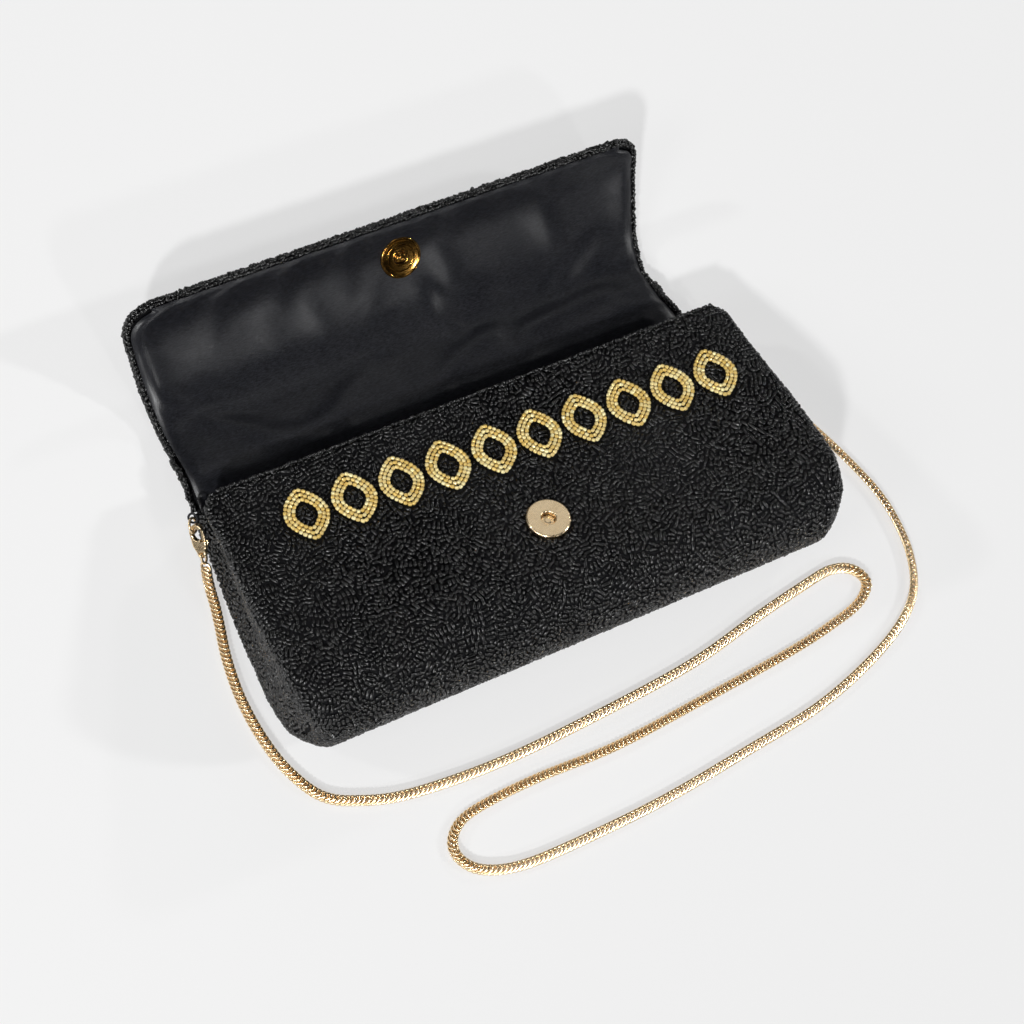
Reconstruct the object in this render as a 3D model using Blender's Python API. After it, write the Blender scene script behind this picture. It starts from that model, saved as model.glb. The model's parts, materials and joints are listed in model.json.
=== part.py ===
"""Beaded evening clutch, lying on its back with the flap open and curled up.

Metres, +Z up. +X runs along the bag's width, +Y from its rounded base towards the flap.
The origin is on the flat back of the bag, half way between the base and the mouth, at table height.
"""

import math

import bmesh
import bpy
from mathutils import Matrix, Vector

MM = 0.001

# Bag body, seen from the side: a flat back, a round base and a flat front that leans back to the mouth.
HALF_WIDTH = 120.0 * MM
BASE_RADIUS = 25.2 * MM
MOUTH_Y = 110.4 * MM
MOUTH_HEIGHT = 24.7 * MM
BACK_EDGE_Y = 110.9 * MM
ORIGIN_Y = 55.2 * MM  # how far the origin lies from the end of the base
CLOSING_ANGLE = math.radians(11.4)  # how far the front swings back when the mouth is shut

# Layers of a wall, as depths below the beaded surface.
GAP = 0.3 * MM
SHELL = 1.8 * MM
BOARD = (2.1 * MM, 2.9 * MM)
LINING = (3.2 * MM, 3.7 * MM)
LINING_HALF_WIDTH = 114.6 * MM
BOARD_HALF_WIDTH = 113.0 * MM
BOARD_MARGIN = 8.0 * MM

# Gusset walls: the back half stands outside the front half, so that the two slide past each other.
GUSSET_BACK_X = (117.8 * MM, 120.0 * MM)
GUSSET_FRONT_X = (115.2 * MM, 117.4 * MM)

# Flap: the curve of its satin side at rest, as points from the hinge to the free edge (y, z).
FLAP_CURVE = [
    (111.4, 3.6), (117.4, 7.0), (124.5, 8.8), (133.5, 6.8), (143.0, 4.5),
    (152.0, 5.6), (163.0, 10.4), (176.2, 20.6), (183.6, 29.4), (188.6, 39.2),
]
FLAP_HALF_WIDTH = 118.5 * MM
FLAP_CORNER = 20.0 * MM
FLAP_LINING = (0.0 * MM, 0.6 * MM)
FLAP_BOARD = (0.9 * MM, 1.7 * MM)
FLAP_SHELL = (2.0 * MM, 3.6 * MM)
FLAP_FOLD = 9.0 * MM  # along the curve from the hinge to the fold over the mouth
FLAP_CURL = 52.0 * MM  # along the curve to the line where the curl rolls flat
FLAP_SPLIT = 0.45 * MM  # half of the slit between two stretches of flap
FLAP_SAMPLES = 400

# Magnetic snap, 18 mm across.
SNAP_RADIUS = 9.0 * MM
SOCKET_DOWN = 66.0 * MM  # from the mouth edge down the front
STUD_ALONG = 72.5 * MM  # from the hinge along the flap
SNAP_HOLE = 2.9 * MM
RIVET_RADIUS = 1.8 * MM
RIVET_HOLE = 2.3 * MM
WASHER_RADIUS = 8.6 * MM
STUD_WASHER_RADIUS = 5.0 * MM
STUD_LIFT = 1.2 * MM  # the cap is flat, so its rim clears the curved satin
BOARD_HOLE = 9.2 * MM
CAP_HOLE = 9.4 * MM  # the beaded cloth is open under the cap, which sits on its washer

# Row of gold leaf outlines on the front. The row drops a little towards +X.
LEAF_COUNT = 10
LEAF_SPACING = 20.5 * MM
LEAF_FIRST_X = -85.6 * MM  # the middle of the first leaf
LEAF_DOWN = 24.4 * MM
LEAF_DROP = 7.2 * MM
LEAF_LENGTH = 26.0 * MM
LEAF_WIDTH = 18.6 * MM
LEAF_STROKE = 4.9 * MM
LEAF_LEAN = math.radians(84)
LEAF_DEPTH = 0.9 * MM

# Chain strap and its hardware, given for the left side and mirrored for the right.
CHAIN_RADIUS = 1.95 * MM
CLASP_TOP = Vector((-123.6, 103.4, 15.6)) * MM
CLASP_FOOT = Vector((-124.2, 90.2, 8.0)) * MM
CLASP_FACING = Vector((-0.66, -0.05, 0.75))
CLASP_THICKNESS = 2.6 * MM
RING_TUBE = 0.55 * MM
JUMP_RING_RADIUS = 2.0 * MM
ANCHOR_RING_RADIUS = 2.9 * MM
LOOP_RADIUS = 1.9 * MM  # the cloth loop that holds the ring to the gusset
LOOP_TUBE = 0.45 * MM
LOOP_SHIFT = 0.75 * MM
CHAIN_POINTS = 78
# Where the chain lies, chosen by hand, from the left clasp round to the right one (x, y, z in mm).
CHAIN_ROUTE = [
    (-124.3, 88.2, 6.9), (-125.0, 84.6, 4.6), (-125.6, 79.5, 2.5), (-126.4, 73.0, 2.0), (-128.0, 65.0, 2.0),
    (-131.0, 51.0, 2.0), (-132.4, 34.0, 2.0), (-131.0, 16.5, 2.0), (-127.0, 1.0, 2.0),
    (-119.0, -13.0, 2.0), (-106.0, -20.5, 2.0), (-86.0, -26.0, 2.0), (-50.0, -28.6, 2.0),
    (-10.0, -27.4, 2.0), (44.0, -23.2, 2.0), (83.0, -15.6, 2.0), (106.0, -11.6, 2.0),
    (121.0, -9.8, 2.0), (130.5, -13.0, 2.0), (134.0, -20.5, 2.0), (127.0, -27.0, 2.0),
    (113.0, -30.8, 2.0), (88.0, -34.6, 2.0), (42.0, -38.4, 2.0), (0.0, -41.3, 2.0),
    (-34.0, -40.4, 2.0), (-58.0, -41.2, 2.0), (-71.5, -43.6, 2.0), (-78.6, -49.6, 2.0),
    (-79.0, -57.2, 2.0), (-72.5, -64.5, 2.0), (-58.0, -69.2, 2.0), (-34.0, -70.2, 2.0),
    (8.0, -69.0, 2.0), (52.0, -64.6, 2.0), (88.0, -60.2, 2.0), (118.0, -52.0, 2.0),
    (140.0, -42.2, 2.0), (152.5, -31.4, 2.0), (158.6, -17.0, 2.0), (160.0, -2.0, 2.0),
    (158.6, 12.0, 2.0), (154.4, 26.0, 2.0), (148.4, 41.5, 2.0), (141.5, 56.5, 2.0),
    (133.8, 70.0, 2.0), (128.2, 79.0, 2.6), (125.2, 84.6, 4.6), (124.3, 88.2, 6.9),
]


def clear_scene():
    for obj in list(bpy.data.objects):
        bpy.data.objects.remove(obj, do_unlink=True)


def material(name, colour, roughness, metallic):
    made = bpy.data.materials.new(name)
    made.use_nodes = True
    shader = made.node_tree.nodes["Principled BSDF"]
    shader.inputs["Base Color"].default_value = (*colour, 1.0)
    shader.inputs["Roughness"].default_value = roughness
    shader.inputs["Metallic"].default_value = metallic
    return made


def placed(y, z, x=0.0):
    """A point of the bag's side view, in the part's own frame."""
    return Vector((x, y - ORIGIN_Y, z))


def finish_mesh(name, bm, finish, parent=None, smooth=False):
    bmesh.ops.recalc_face_normals(bm, faces=bm.faces)
    if bm.calc_volume(signed=True) < 0:
        bmesh.ops.reverse_faces(bm, faces=bm.faces)
    mesh = bpy.data.meshes.new(name)
    bm.to_mesh(mesh)
    bm.free()
    mesh.materials.append(finish)
    obj = bpy.data.objects.new(name, mesh)
    bpy.context.scene.collection.objects.link(obj)
    if smooth:
        mesh.shade_smooth()
        mesh.set_sharp_from_angle(angle=math.radians(35))
    if parent is not None:
        bpy.context.view_layer.update()
        obj.parent = parent
        obj.matrix_parent_inverse = parent.matrix_world.inverted()
    return obj


def joint_empty(name, place, parent=None):
    """An empty on a joint's axis. The pieces that turn about it are its children."""
    empty = bpy.data.objects.new(name, None)
    bpy.context.scene.collection.objects.link(empty)
    empty.location = place
    bpy.context.view_layer.update()
    if parent is not None:
        empty.parent = parent
        empty.matrix_parent_inverse = parent.matrix_world.inverted()
        bpy.context.view_layer.update()
    return empty


# ---------------------------------------------------------------- side view of the body


def front_tilt():
    """The slope of the front: its line passes the mouth edge and touches the base circle."""
    along = MOUTH_Y - BASE_RADIUS
    up = MOUTH_HEIGHT - BASE_RADIUS
    return math.asin(BASE_RADIUS / math.hypot(along, up)) - math.atan2(up, along)


TILT = front_tilt()
DOWN_FRONT = Vector((0.0, -math.cos(TILT), math.sin(TILT)))
OFF_FRONT = Vector((0.0, math.sin(TILT), math.cos(TILT)))
PIVOT = placed(BASE_RADIUS, BASE_RADIUS)
MOUTH_EDGE = placed(MOUTH_Y, MOUTH_HEIGHT)
FRONT_LENGTH = (PIVOT - MOUTH_EDGE).dot(DOWN_FRONT)


def front_point(down, depth, x=0.0):
    """A point on the front: down from the mouth edge, and depth below the beaded surface."""
    return MOUTH_EDGE + DOWN_FRONT * down - OFF_FRONT * depth + Vector((x, 0.0, 0.0))


def front_section(down, depth):
    return front_point(down, depth)


def back_section(down, depth):
    """down runs from the mouth edge towards the base."""
    return placed(BACK_EDGE_Y - down, depth)


def base_section(turn, depth):
    """turn is the angle round the base circle, 0 where it meets the back."""
    angle = -math.pi / 2 - turn
    reach = BASE_RADIUS - depth
    return PIVOT + Vector((0.0, reach * math.cos(angle), reach * math.sin(angle)))


BASE_TURN = math.pi + TILT  # from the back round to where the front begins


def strip(name, section, start, end, depths, half_width, steps, finish, parent=None):
    """A bent board: section(t, depth) gives its side view, half_width(t) its reach along X."""
    bm = bmesh.new()
    rings = []
    for i in range(steps + 1):
        t = start + (end - start) * i / steps
        reach = half_width(t)
        near = section(t, depths[0])
        far = section(t, depths[1])
        corners = [(near, -reach), (near, reach), (far, reach), (far, -reach)]
        rings.append([bm.verts.new((x, p.y, p.z)) for p, x in corners])
    for first, second in zip(rings, rings[1:]):
        for k in range(4):
            following = (k + 1) % 4
            bm.faces.new((first[k], first[following], second[following], second[k]))
    bm.faces.new(rings[0][::-1])
    bm.faces.new(rings[-1])
    return finish_mesh(name, bm, finish, parent, smooth=steps > 2)


def side_plate(name, outline, x_from, x_to, finish, parent=None):
    """A flat wall across the bag's end: outline is its side view as points in the part's frame."""
    bm = bmesh.new()
    near = [bm.verts.new((x_from, p.y, p.z)) for p in outline]
    far = [bm.verts.new((x_to, p.y, p.z)) for p in outline]
    bm.faces.new(near)
    bm.faces.new(far[::-1])
    count = len(outline)
    for k in range(count):
        following = (k + 1) % count
        bm.faces.new((near[k], far[k], far[following], near[following]))
    return finish_mesh(name, bm, finish, parent)


def turned(name, profile, centre, axis, finish, parent=None, segments=32, closed=False):
    """A turned piece: profile is (radius, height) along axis, from centre."""
    bm = bmesh.new()
    verts = [bm.verts.new((r, 0.0, h)) for r, h in profile]
    edges = [bm.edges.new(pair) for pair in zip(verts, verts[1:])]
    if closed:
        edges.append(bm.edges.new((verts[-1], verts[0])))
    bmesh.ops.spin(
        bm, geom=verts + edges, cent=(0, 0, 0), axis=(0, 0, 1), angle=math.tau, steps=segments
    )
    bmesh.ops.remove_doubles(bm, verts=bm.verts, dist=1e-7)
    turn = Vector((0, 0, 1)).rotation_difference(axis.normalized()).to_matrix().to_4x4()
    bm.transform(Matrix.Translation(centre) @ turn)
    return finish_mesh(name, bm, finish, parent, smooth=True)


def ring(name, radius, tube, centre, axis, finish, parent=None):
    sides = 8
    profile = [
        (
            radius + tube * math.cos(math.tau * k / sides),
            tube * math.sin(math.tau * k / sides),
        )
        for k in range(sides)
    ]
    return turned(name, profile, centre, axis, finish, parent, segments=24, closed=True)


def cutter(name, radius, centre, axis, reach):
    """A round hole's cutter."""
    profile = [(0.0, -reach), (radius, -reach), (radius, reach), (0.0, reach)]
    made = turned(name, profile, centre, axis, MATERIALS["board"], segments=24)
    made.hide_render = True
    made.display_type = "WIRE"
    return made


def cut(obj, tool):
    modifier = obj.modifiers.new("hole_" + tool.name, "BOOLEAN")
    modifier.operation = "DIFFERENCE"
    modifier.object = tool


# ---------------------------------------------------------------- flap curve


def catmull(points, samples):
    """A smooth curve through the points, as that many places along it."""
    ends = [points[0] * 2 - points[1]] + points + [points[-1] * 2 - points[-2]]
    spans = len(points) - 1
    out = []
    for i in range(samples + 1):
        at = min(i * spans / samples, spans - 1e-9)
        k = int(at)
        t = at - k
        p0, p1, p2, p3 = ends[k : k + 4]
        out.append(
            0.5
            * (
                2 * p1
                + (p2 - p0) * t
                + (2 * p0 - 5 * p1 + 4 * p2 - p3) * t * t
                + (3 * p1 - p0 - 3 * p2 + p3) * t * t * t
            )
        )
    return out


def lengths_along(points):
    run = [0.0]
    for a, b in zip(points, points[1:]):
        run.append(run[-1] + (b - a).length)
    return run


FLAP_LINE = catmull([placed(y * MM, z * MM) for y, z in FLAP_CURVE], FLAP_SAMPLES)
FLAP_RUN = lengths_along(FLAP_LINE)
FLAP_LENGTH = FLAP_RUN[-1]


def along_line(line, run, s):
    s = min(max(s, 0.0), run[-1])
    k = 0
    while k < len(run) - 2 and run[k + 1] < s:
        k += 1
    share = (s - run[k]) / (run[k + 1] - run[k])
    return line[k].lerp(line[k + 1], share)


def flap_normal(s):
    """Out of the satin side."""
    step = 1.2 * MM
    run = along_line(FLAP_LINE, FLAP_RUN, s + step) - along_line(FLAP_LINE, FLAP_RUN, s - step)
    run.normalize()
    return Vector((0.0, -run.z, run.y))


def flap_section(s, depth):
    return along_line(FLAP_LINE, FLAP_RUN, s) - flap_normal(s) * depth


def flap_half_width(s):
    """The flap's reach along X, rounded at its two free corners."""
    left = FLAP_LENGTH - s
    if left >= FLAP_CORNER:
        return FLAP_HALF_WIDTH
    over = FLAP_CORNER - left
    return FLAP_HALF_WIDTH - FLAP_CORNER + math.sqrt(max(FLAP_CORNER**2 - over**2, 0.0))


def steady(width):
    return lambda s: width


def inset_width(margin):
    return lambda s: flap_half_width(min(s + margin, FLAP_LENGTH)) - margin


# ---------------------------------------------------------------- bag body


def build_walls(front):
    beads, satin, board = MATERIALS["beads"], MATERIALS["satin"], MATERIALS["board"]
    full, inner, stiff = (steady(x) for x in (HALF_WIDTH, LINING_HALF_WIDTH, BOARD_HALF_WIDTH))
    back_end = BACK_EDGE_Y - BASE_RADIUS - GAP
    strip("back_panel", back_section, 0, back_end, (0, SHELL), full, 1, beads)
    strip("back_board", back_section, BOARD_MARGIN, back_end, BOARD, stiff, 1, board)
    strip("back_lining", back_section, 1.0 * MM, back_end, LINING, inner, 1, satin)
    strip("base_panel", base_section, 0, BASE_TURN, (0, SHELL), full, 18, beads)
    strip("base_lining", base_section, 0, BASE_TURN, LINING, inner, 14, satin)
    front_end = FRONT_LENGTH - GAP
    shell = strip(
        "front_panel", front_section, 0, front_end, (0, SHELL), full, 1, beads, front
    )
    stay = strip(
        "front_board", front_section, BOARD_MARGIN, front_end, BOARD, stiff, 1, board, front
    )
    strip(
        "front_lining", front_section, 1.0 * MM, front_end, LINING, inner, 1, satin, front
    )
    socket = front_point(SOCKET_DOWN, 0.0)
    cut(shell, cutter("socket_hole", CAP_HOLE, socket, OFF_FRONT, 3.0 * MM))
    cut(stay, cutter("socket_board_hole", BOARD_HOLE, socket, OFF_FRONT, 6.0 * MM))


def turned_about_pivot(point, angle):
    return PIVOT + Matrix.Rotation(angle, 3, "X") @ (point - PIVOT)


def build_gussets(front):
    """Each end wall is two halves, one on the back of the bag and one on its front."""
    beads = MATERIALS["beads"]
    depth = SHELL + GAP
    inner = BASE_RADIUS - depth
    # The back half stays under where the front comes to when the mouth is shut.
    shut = [
        turned_about_pivot(front_point(down, depth + GAP), -CLOSING_ANGLE)
        for down in (2.0 * MM, FRONT_LENGTH)
    ]
    outline = [placed(BACK_EDGE_Y - 2.0 * MM, depth), shut[0], shut[1]]
    reach = inner - GAP
    first = math.atan2(shut[1].z - PIVOT.z, shut[1].y - PIVOT.y)
    steps = 14
    for k in range(1, steps + 1):
        angle = first + (1.5 * math.pi - first) * k / steps
        outline.append(PIVOT + Vector((0, reach * math.cos(angle), reach * math.sin(angle))))
    outline[-1] = placed(BASE_RADIUS, depth)
    # The front half stays above where the back is when the mouth is shut.
    swing = [
        turned_about_pivot(placed(y, depth + GAP), CLOSING_ANGLE)
        for y in (108.0 * MM, BASE_RADIUS + 6.0 * MM)
    ]
    wedge = [
        front_point(2.0 * MM, depth),
        front_point(FRONT_LENGTH - GAP, depth),
        PIVOT + Vector((0, 4.0 * MM, 0)),
        swing[1],
        swing[0],
    ]
    for side, sign in (("left", -1), ("right", 1)):
        x_from, x_to = (sign * x for x in GUSSET_BACK_X)
        side_plate(f"gusset_{side}_back", outline, x_from, x_to, beads)
        x_from, x_to = (sign * x for x in GUSSET_FRONT_X)
        side_plate(f"gusset_{side}_front", wedge, x_from, x_to, beads, front)


def build_flap(bridge, upper, lower):
    beads, satin, board = MATERIALS["beads"], MATERIALS["satin"], MATERIALS["board"]
    spans = (
        ("bridge", 0.6 * MM, FLAP_FOLD - FLAP_SPLIT, 4, bridge),
        ("upper", FLAP_FOLD + FLAP_SPLIT, FLAP_CURL - FLAP_SPLIT, 14, upper),
        ("lower", FLAP_CURL + FLAP_SPLIT, FLAP_LENGTH, 22, lower),
    )
    made = {}
    for name, start, end, steps, parent in spans:
        made[name, "shell"] = strip(
            f"flap_{name}_shell", flap_section, start, end, FLAP_SHELL,
            flap_half_width, steps, beads, parent,
        )
        edge = 1.2 * MM if name == "lower" else 0.0
        made[name, "lining"] = strip(
            f"flap_{name}_lining", flap_section, start, end - edge, FLAP_LINING,
            inset_width(1.2 * MM), steps, satin, parent,
        )
    for name, start, end, steps, parent in spans[1:]:
        edge = 6.0 * MM if name == "lower" else 1.0 * MM
        made[name, "board"] = strip(
            f"flap_{name}_board", flap_section, start + 1.0 * MM, end - edge, FLAP_BOARD,
            inset_width(6.0 * MM), steps, board, parent,
        )
    centre = flap_section(STUD_ALONG, 0.0)
    axis = flap_normal(STUD_ALONG)
    cut(made["lower", "lining"], cutter("stud_hole", RIVET_HOLE, centre, axis, 8.0 * MM))
    cut(
        made["lower", "board"],
        cutter("stud_board_hole", STUD_WASHER_RADIUS + 2 * GAP, centre, axis, 8.0 * MM),
    )


def build_socket(front):
    """The half of the snap on the front: a gold cap round a ring magnet, riveted to a washer."""
    gold, steel, magnet = MATERIALS["pale_gold"], MATERIALS["steel"], MATERIALS["magnet"]
    foot = front_point(SOCKET_DOWN, SHELL)
    cap = [
        (SNAP_HOLE, 0.0), (3.7 * MM, 0.0), (3.7 * MM, 1.7 * MM), (7.9 * MM, 1.7 * MM),
        (7.9 * MM, 0.0), (SNAP_RADIUS, 0.0), (SNAP_RADIUS, 2.0 * MM),
        (8.6 * MM, 2.4 * MM), (3.2 * MM, 2.4 * MM), (SNAP_HOLE, 2.15 * MM),
    ]
    turned("socket_cap", cap, foot, OFF_FRONT, gold, front, closed=True)
    core = [(4.0 * MM, 0.0), (7.6 * MM, 0.0), (7.6 * MM, 1.4 * MM), (4.0 * MM, 1.4 * MM)]
    turned("socket_magnet", core, foot, OFF_FRONT, magnet, front, segments=24, closed=True)
    rivet = [
        (0.0, -1.1 * MM), (RIVET_RADIUS, -1.1 * MM), (RIVET_RADIUS, 0.0),
        (2.6 * MM, 0.0), (2.6 * MM, 0.5 * MM), (0.0, 0.5 * MM),
    ]
    turned("socket_rivet", rivet, foot, OFF_FRONT, gold, front, segments=24)
    washer = [
        (RIVET_HOLE, -1.1 * MM), (WASHER_RADIUS, -1.1 * MM),
        (WASHER_RADIUS, -0.3 * MM), (RIVET_HOLE, -0.3 * MM),
    ]
    turned("socket_washer", washer, foot, OFF_FRONT, steel, front, segments=24, closed=True)


def build_stud(lower):
    """The half of the snap on the flap: a dished brass cap with a domed rivet through it."""
    brass, steel = MATERIALS["dark_brass"], MATERIALS["steel"]
    axis = flap_normal(STUD_ALONG)
    foot = flap_section(STUD_ALONG, -STUD_LIFT)
    cap = [
        (2.9 * MM, 0.0), (SNAP_RADIUS, 0.0), (SNAP_RADIUS, 0.7 * MM), (8.7 * MM, 0.95 * MM),
        (8.2 * MM, 0.95 * MM), (7.4 * MM, 0.6 * MM), (3.4 * MM, 0.35 * MM), (2.9 * MM, 0.35 * MM),
    ]
    turned("stud_cap", cap, foot, axis, brass, lower, closed=True)
    rivet = [
        (0.0, -2.5 * MM), (RIVET_RADIUS, -2.5 * MM), (RIVET_RADIUS, 0.0),
        (2.4 * MM, 0.7 * MM), (2.3 * MM, 1.3 * MM), (1.8 * MM, 1.75 * MM),
        (0.7 * MM, 1.9 * MM), (0.6 * MM, 1.5 * MM), (0.0, 1.5 * MM),
    ]
    turned("stud_rivet", rivet, foot, axis, brass, lower, segments=24)
    washer = [
        (RIVET_HOLE, -2.6 * MM), (STUD_WASHER_RADIUS, -2.6 * MM),
        (STUD_WASHER_RADIUS, -2.15 * MM), (RIVET_HOLE, -2.15 * MM),
    ]
    turned("stud_washer", washer, foot, axis, steel, lower, segments=24, closed=True)


def leaf_outline(length, width, steps):
    """An almond with pointed ends, its middle at the origin, as (along, across) points."""
    points = []
    for k in range(steps):
        t = k / steps
        points.append((length * (t - 0.5), 0.5 * width * math.sin(math.pi * t) ** 0.8))
    for k in range(steps):
        t = 1 - k / steps
        points.append((length * (t - 0.5), -0.5 * width * math.sin(math.pi * t) ** 0.8))
    return points


def build_leaf(name, x, down, front):
    """One outlined leaf, sewn to the front. LEAF_LEAN is its angle from the row."""
    bm = bmesh.new()
    outer = leaf_outline(LEAF_LENGTH, LEAF_WIDTH, 12)
    scale = (LEAF_WIDTH - 2 * LEAF_STROKE) / LEAF_WIDTH
    inner = [(along * scale, across * scale) for along, across in outer]
    rings = []
    low, high = GAP, GAP + LEAF_DEPTH
    for points, height in ((outer, low), (outer, high), (inner, high), (inner, low)):
        verts = []
        for along, across in points:
            run = along * math.cos(LEAF_LEAN) - across * math.sin(LEAF_LEAN)
            rise = along * math.sin(LEAF_LEAN) + across * math.cos(LEAF_LEAN)
            verts.append(bm.verts.new(front_point(down - rise, -height, x + run)))
        rings.append(verts)
    count = len(outer)
    for k in range(4):
        first, second = rings[k], rings[(k + 1) % 4]
        for i in range(count):
            j = (i + 1) % count
            bm.faces.new((first[i], first[j], second[j], second[i]))
    return finish_mesh(name, bm, MATERIALS["gold_beads"], front)


def build_leaves(front):
    for k in range(LEAF_COUNT):
        down = LEAF_DOWN + LEAF_DROP * k / (LEAF_COUNT - 1)
        build_leaf(f"gold_leaf_{k + 1:02d}", LEAF_FIRST_X + k * LEAF_SPACING, down, front)


# ---------------------------------------------------------------- strap hardware


def mirrored(vector, sign):
    return Vector((vector.x * sign, vector.y, vector.z))


def from_base_end(vector):
    return Vector((vector.x, vector.y - ORIGIN_Y, vector.z))


def clasp_frame(sign):
    """Matrix from clasp space (along, across, thickness) to the part's frame."""
    top = mirrored(from_base_end(CLASP_TOP), sign)
    foot = mirrored(from_base_end(CLASP_FOOT), sign)
    along = (foot - top).normalized()
    facing = mirrored(CLASP_FACING, sign)
    facing = (facing - along * facing.dot(along)).normalized()
    across = facing.cross(along)
    frame = Matrix((along, across, facing)).transposed().to_4x4()
    frame.translation = top
    return frame


def flat_piece(name, outline, low, high, frame, finish, parent=None, bevel=0.0):
    bm = bmesh.new()
    near = [bm.verts.new((a * MM, b * MM, low * MM)) for a, b in outline]
    far = [bm.verts.new((a * MM, b * MM, high * MM)) for a, b in outline]
    bm.faces.new(near[::-1])
    bm.faces.new(far)
    count = len(outline)
    for k in range(count):
        following = (k + 1) % count
        bm.faces.new((near[k], near[following], far[following], far[k]))
    if bevel:
        rims = [e for e in bm.edges if abs(e.verts[0].co.z - e.verts[1].co.z) < 1e-9]
        bmesh.ops.bevel(bm, geom=rims, offset=bevel * MM, segments=2, affect="EDGES", profile=0.6)
    bm.transform(frame)
    return finish_mesh(name, bm, finish, parent, smooth=True)


def arc(centre, radius, start, end, steps, squeeze=1.0):
    """Points (along, across) on an arc; squeeze stretches it along the clasp."""
    points = []
    for k in range(steps + 1):
        angle = math.radians(start + (end - start) * k / steps)
        points.append(
            (
                centre[0] + squeeze * radius * math.cos(angle),
                centre[1] + radius * math.sin(angle),
            )
        )
    return points


def build_clasp(side, sign, gate_empty):
    """A small lobster clasp: a hook body with an eye, and a sprung gate on its own pin."""
    gold, steel = MATERIALS["pale_gold"], MATERIALS["steel"]
    frame = clasp_frame(sign)
    half = 1.3
    body = (
        arc((3.2, 0.0), 3.0, 90, 270, 12, 1.05)
        + arc((8.6, -1.2), 1.8, 270, 330, 3)
        + arc((12.3, 0.0), 1.9, 235, 485, 12)
        + arc((8.6, 1.2), 1.8, 30, 90, 3)
    )
    hook = flat_piece(f"clasp_{side}", body, -half, half, frame, gold, bevel=0.45)
    mouth = arc((4.3, -0.25), 1.75, 0, 360, 20, 1.45)[:-1]
    doorway = [(2.1, 0.6), (7.3, 0.6), (7.3, 4.5), (2.1, 4.5)]
    slot = [(6.9, 0.25), (9.6, 0.25), (9.6, 4.5), (6.9, 4.5)]
    eye = arc((12.5, 0.0), 1.0, 0, 360, 14)[:-1]
    for label, outline, depth in (
        ("mouth", mouth, 2.0),
        ("doorway", doorway, 2.0),
        ("slot", slot, 0.85),
        ("eye", eye, 2.0),
    ):
        tool = flat_piece(f"{label}_cutter_{side}", outline, -depth, depth, frame, steel)
        tool.hide_render = True
        tool.display_type = "WIRE"
        cut(hook, tool)
    gate = [
        (2.55, 1.75), (2.9, 2.55), (4.5, 2.75), (6.8, 2.65), (8.3, 2.45), (9.1, 1.9),
        (9.15, 1.1), (8.6, 0.65), (7.8, 0.7), (7.3, 1.3), (5.2, 1.65),
    ]
    lever = flat_piece(f"clasp_gate_{side}", gate, -0.5, 0.5, frame, gold, gate_empty)
    pin_at = frame @ (Vector((8.3, 1.5, 0.0)) * MM)
    facing = frame.to_3x3() @ Vector((0, 0, 1))
    hole = cutter(f"gate_hole_{side}", 0.65 * MM, pin_at, facing, 1.5 * MM)
    cut(lever, hole)
    pin = [(0.0, -0.6 * MM), (0.32 * MM, -0.6 * MM), (0.32 * MM, 0.6 * MM), (0.0, 0.6 * MM)]
    turned(f"clasp_pin_{side}", pin, pin_at, facing, steel, segments=10)


def gate_pivot(sign):
    return clasp_frame(sign) @ (Vector((8.3, 1.5, 0.0)) * MM)


def build_hardware(side, sign, gate_empty):
    """Tab and ring on the gusset, the clasp on the ring, and the jump ring at the chain's end."""
    gold, satin = MATERIALS["pale_gold"], MATERIALS["satin"]
    build_clasp(side, sign, gate_empty)
    frame = clasp_frame(sign)
    across = frame.to_3x3() @ Vector((0, 1, 0))
    along = frame.to_3x3() @ Vector((1, 0, 0))
    eye = frame @ (Vector((12.5, 0.0, 0.0)) * MM)
    jump = eye + along * (JUMP_RING_RADIUS - 0.15 * MM)
    ring(f"jump_ring_{side}", JUMP_RING_RADIUS, RING_TUBE, jump, across, gold)
    hold = frame @ (Vector((3.4, -1.05, 0.0)) * MM)
    middle = hold - along * ANCHOR_RING_RADIUS
    ring(f"anchor_ring_{side}", ANCHOR_RING_RADIUS, RING_TUBE, middle, across, gold)
    facing = across.cross(along) * -1.0
    inward = Vector((sign, 0.0, 0.0))
    inward = (inward - facing * inward.dot(facing)).normalized()
    loop = middle - along * ANCHOR_RING_RADIUS + inward * LOOP_SHIFT
    ring(f"anchor_tab_{side}", LOOP_RADIUS, LOOP_TUBE, loop, facing, satin)


def build_chain():
    """The chain strap's plain stand-in: one tube along its route."""
    route = [placed(y * MM, z * MM, x * MM) for x, y, z in CHAIN_ROUTE]
    smooth = catmull(route, 1200)
    run = lengths_along(smooth)
    curve = bpy.data.curves.new("chain_strap", "CURVE")
    curve.dimensions = "3D"
    curve.bevel_depth = CHAIN_RADIUS
    curve.bevel_resolution = 2
    curve.use_fill_caps = True
    spline = curve.splines.new("POLY")
    spline.points.add(CHAIN_POINTS - 1)
    for i in range(CHAIN_POINTS):
        place = along_line(smooth, run, run[-1] * i / (CHAIN_POINTS - 1))
        spline.points[i].co = (*place, 1.0)
    curve.materials.append(MATERIALS["pale_gold"])
    obj = bpy.data.objects.new("chain_strap", curve)
    bpy.context.scene.collection.objects.link(obj)


MATERIALS = {}


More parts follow.
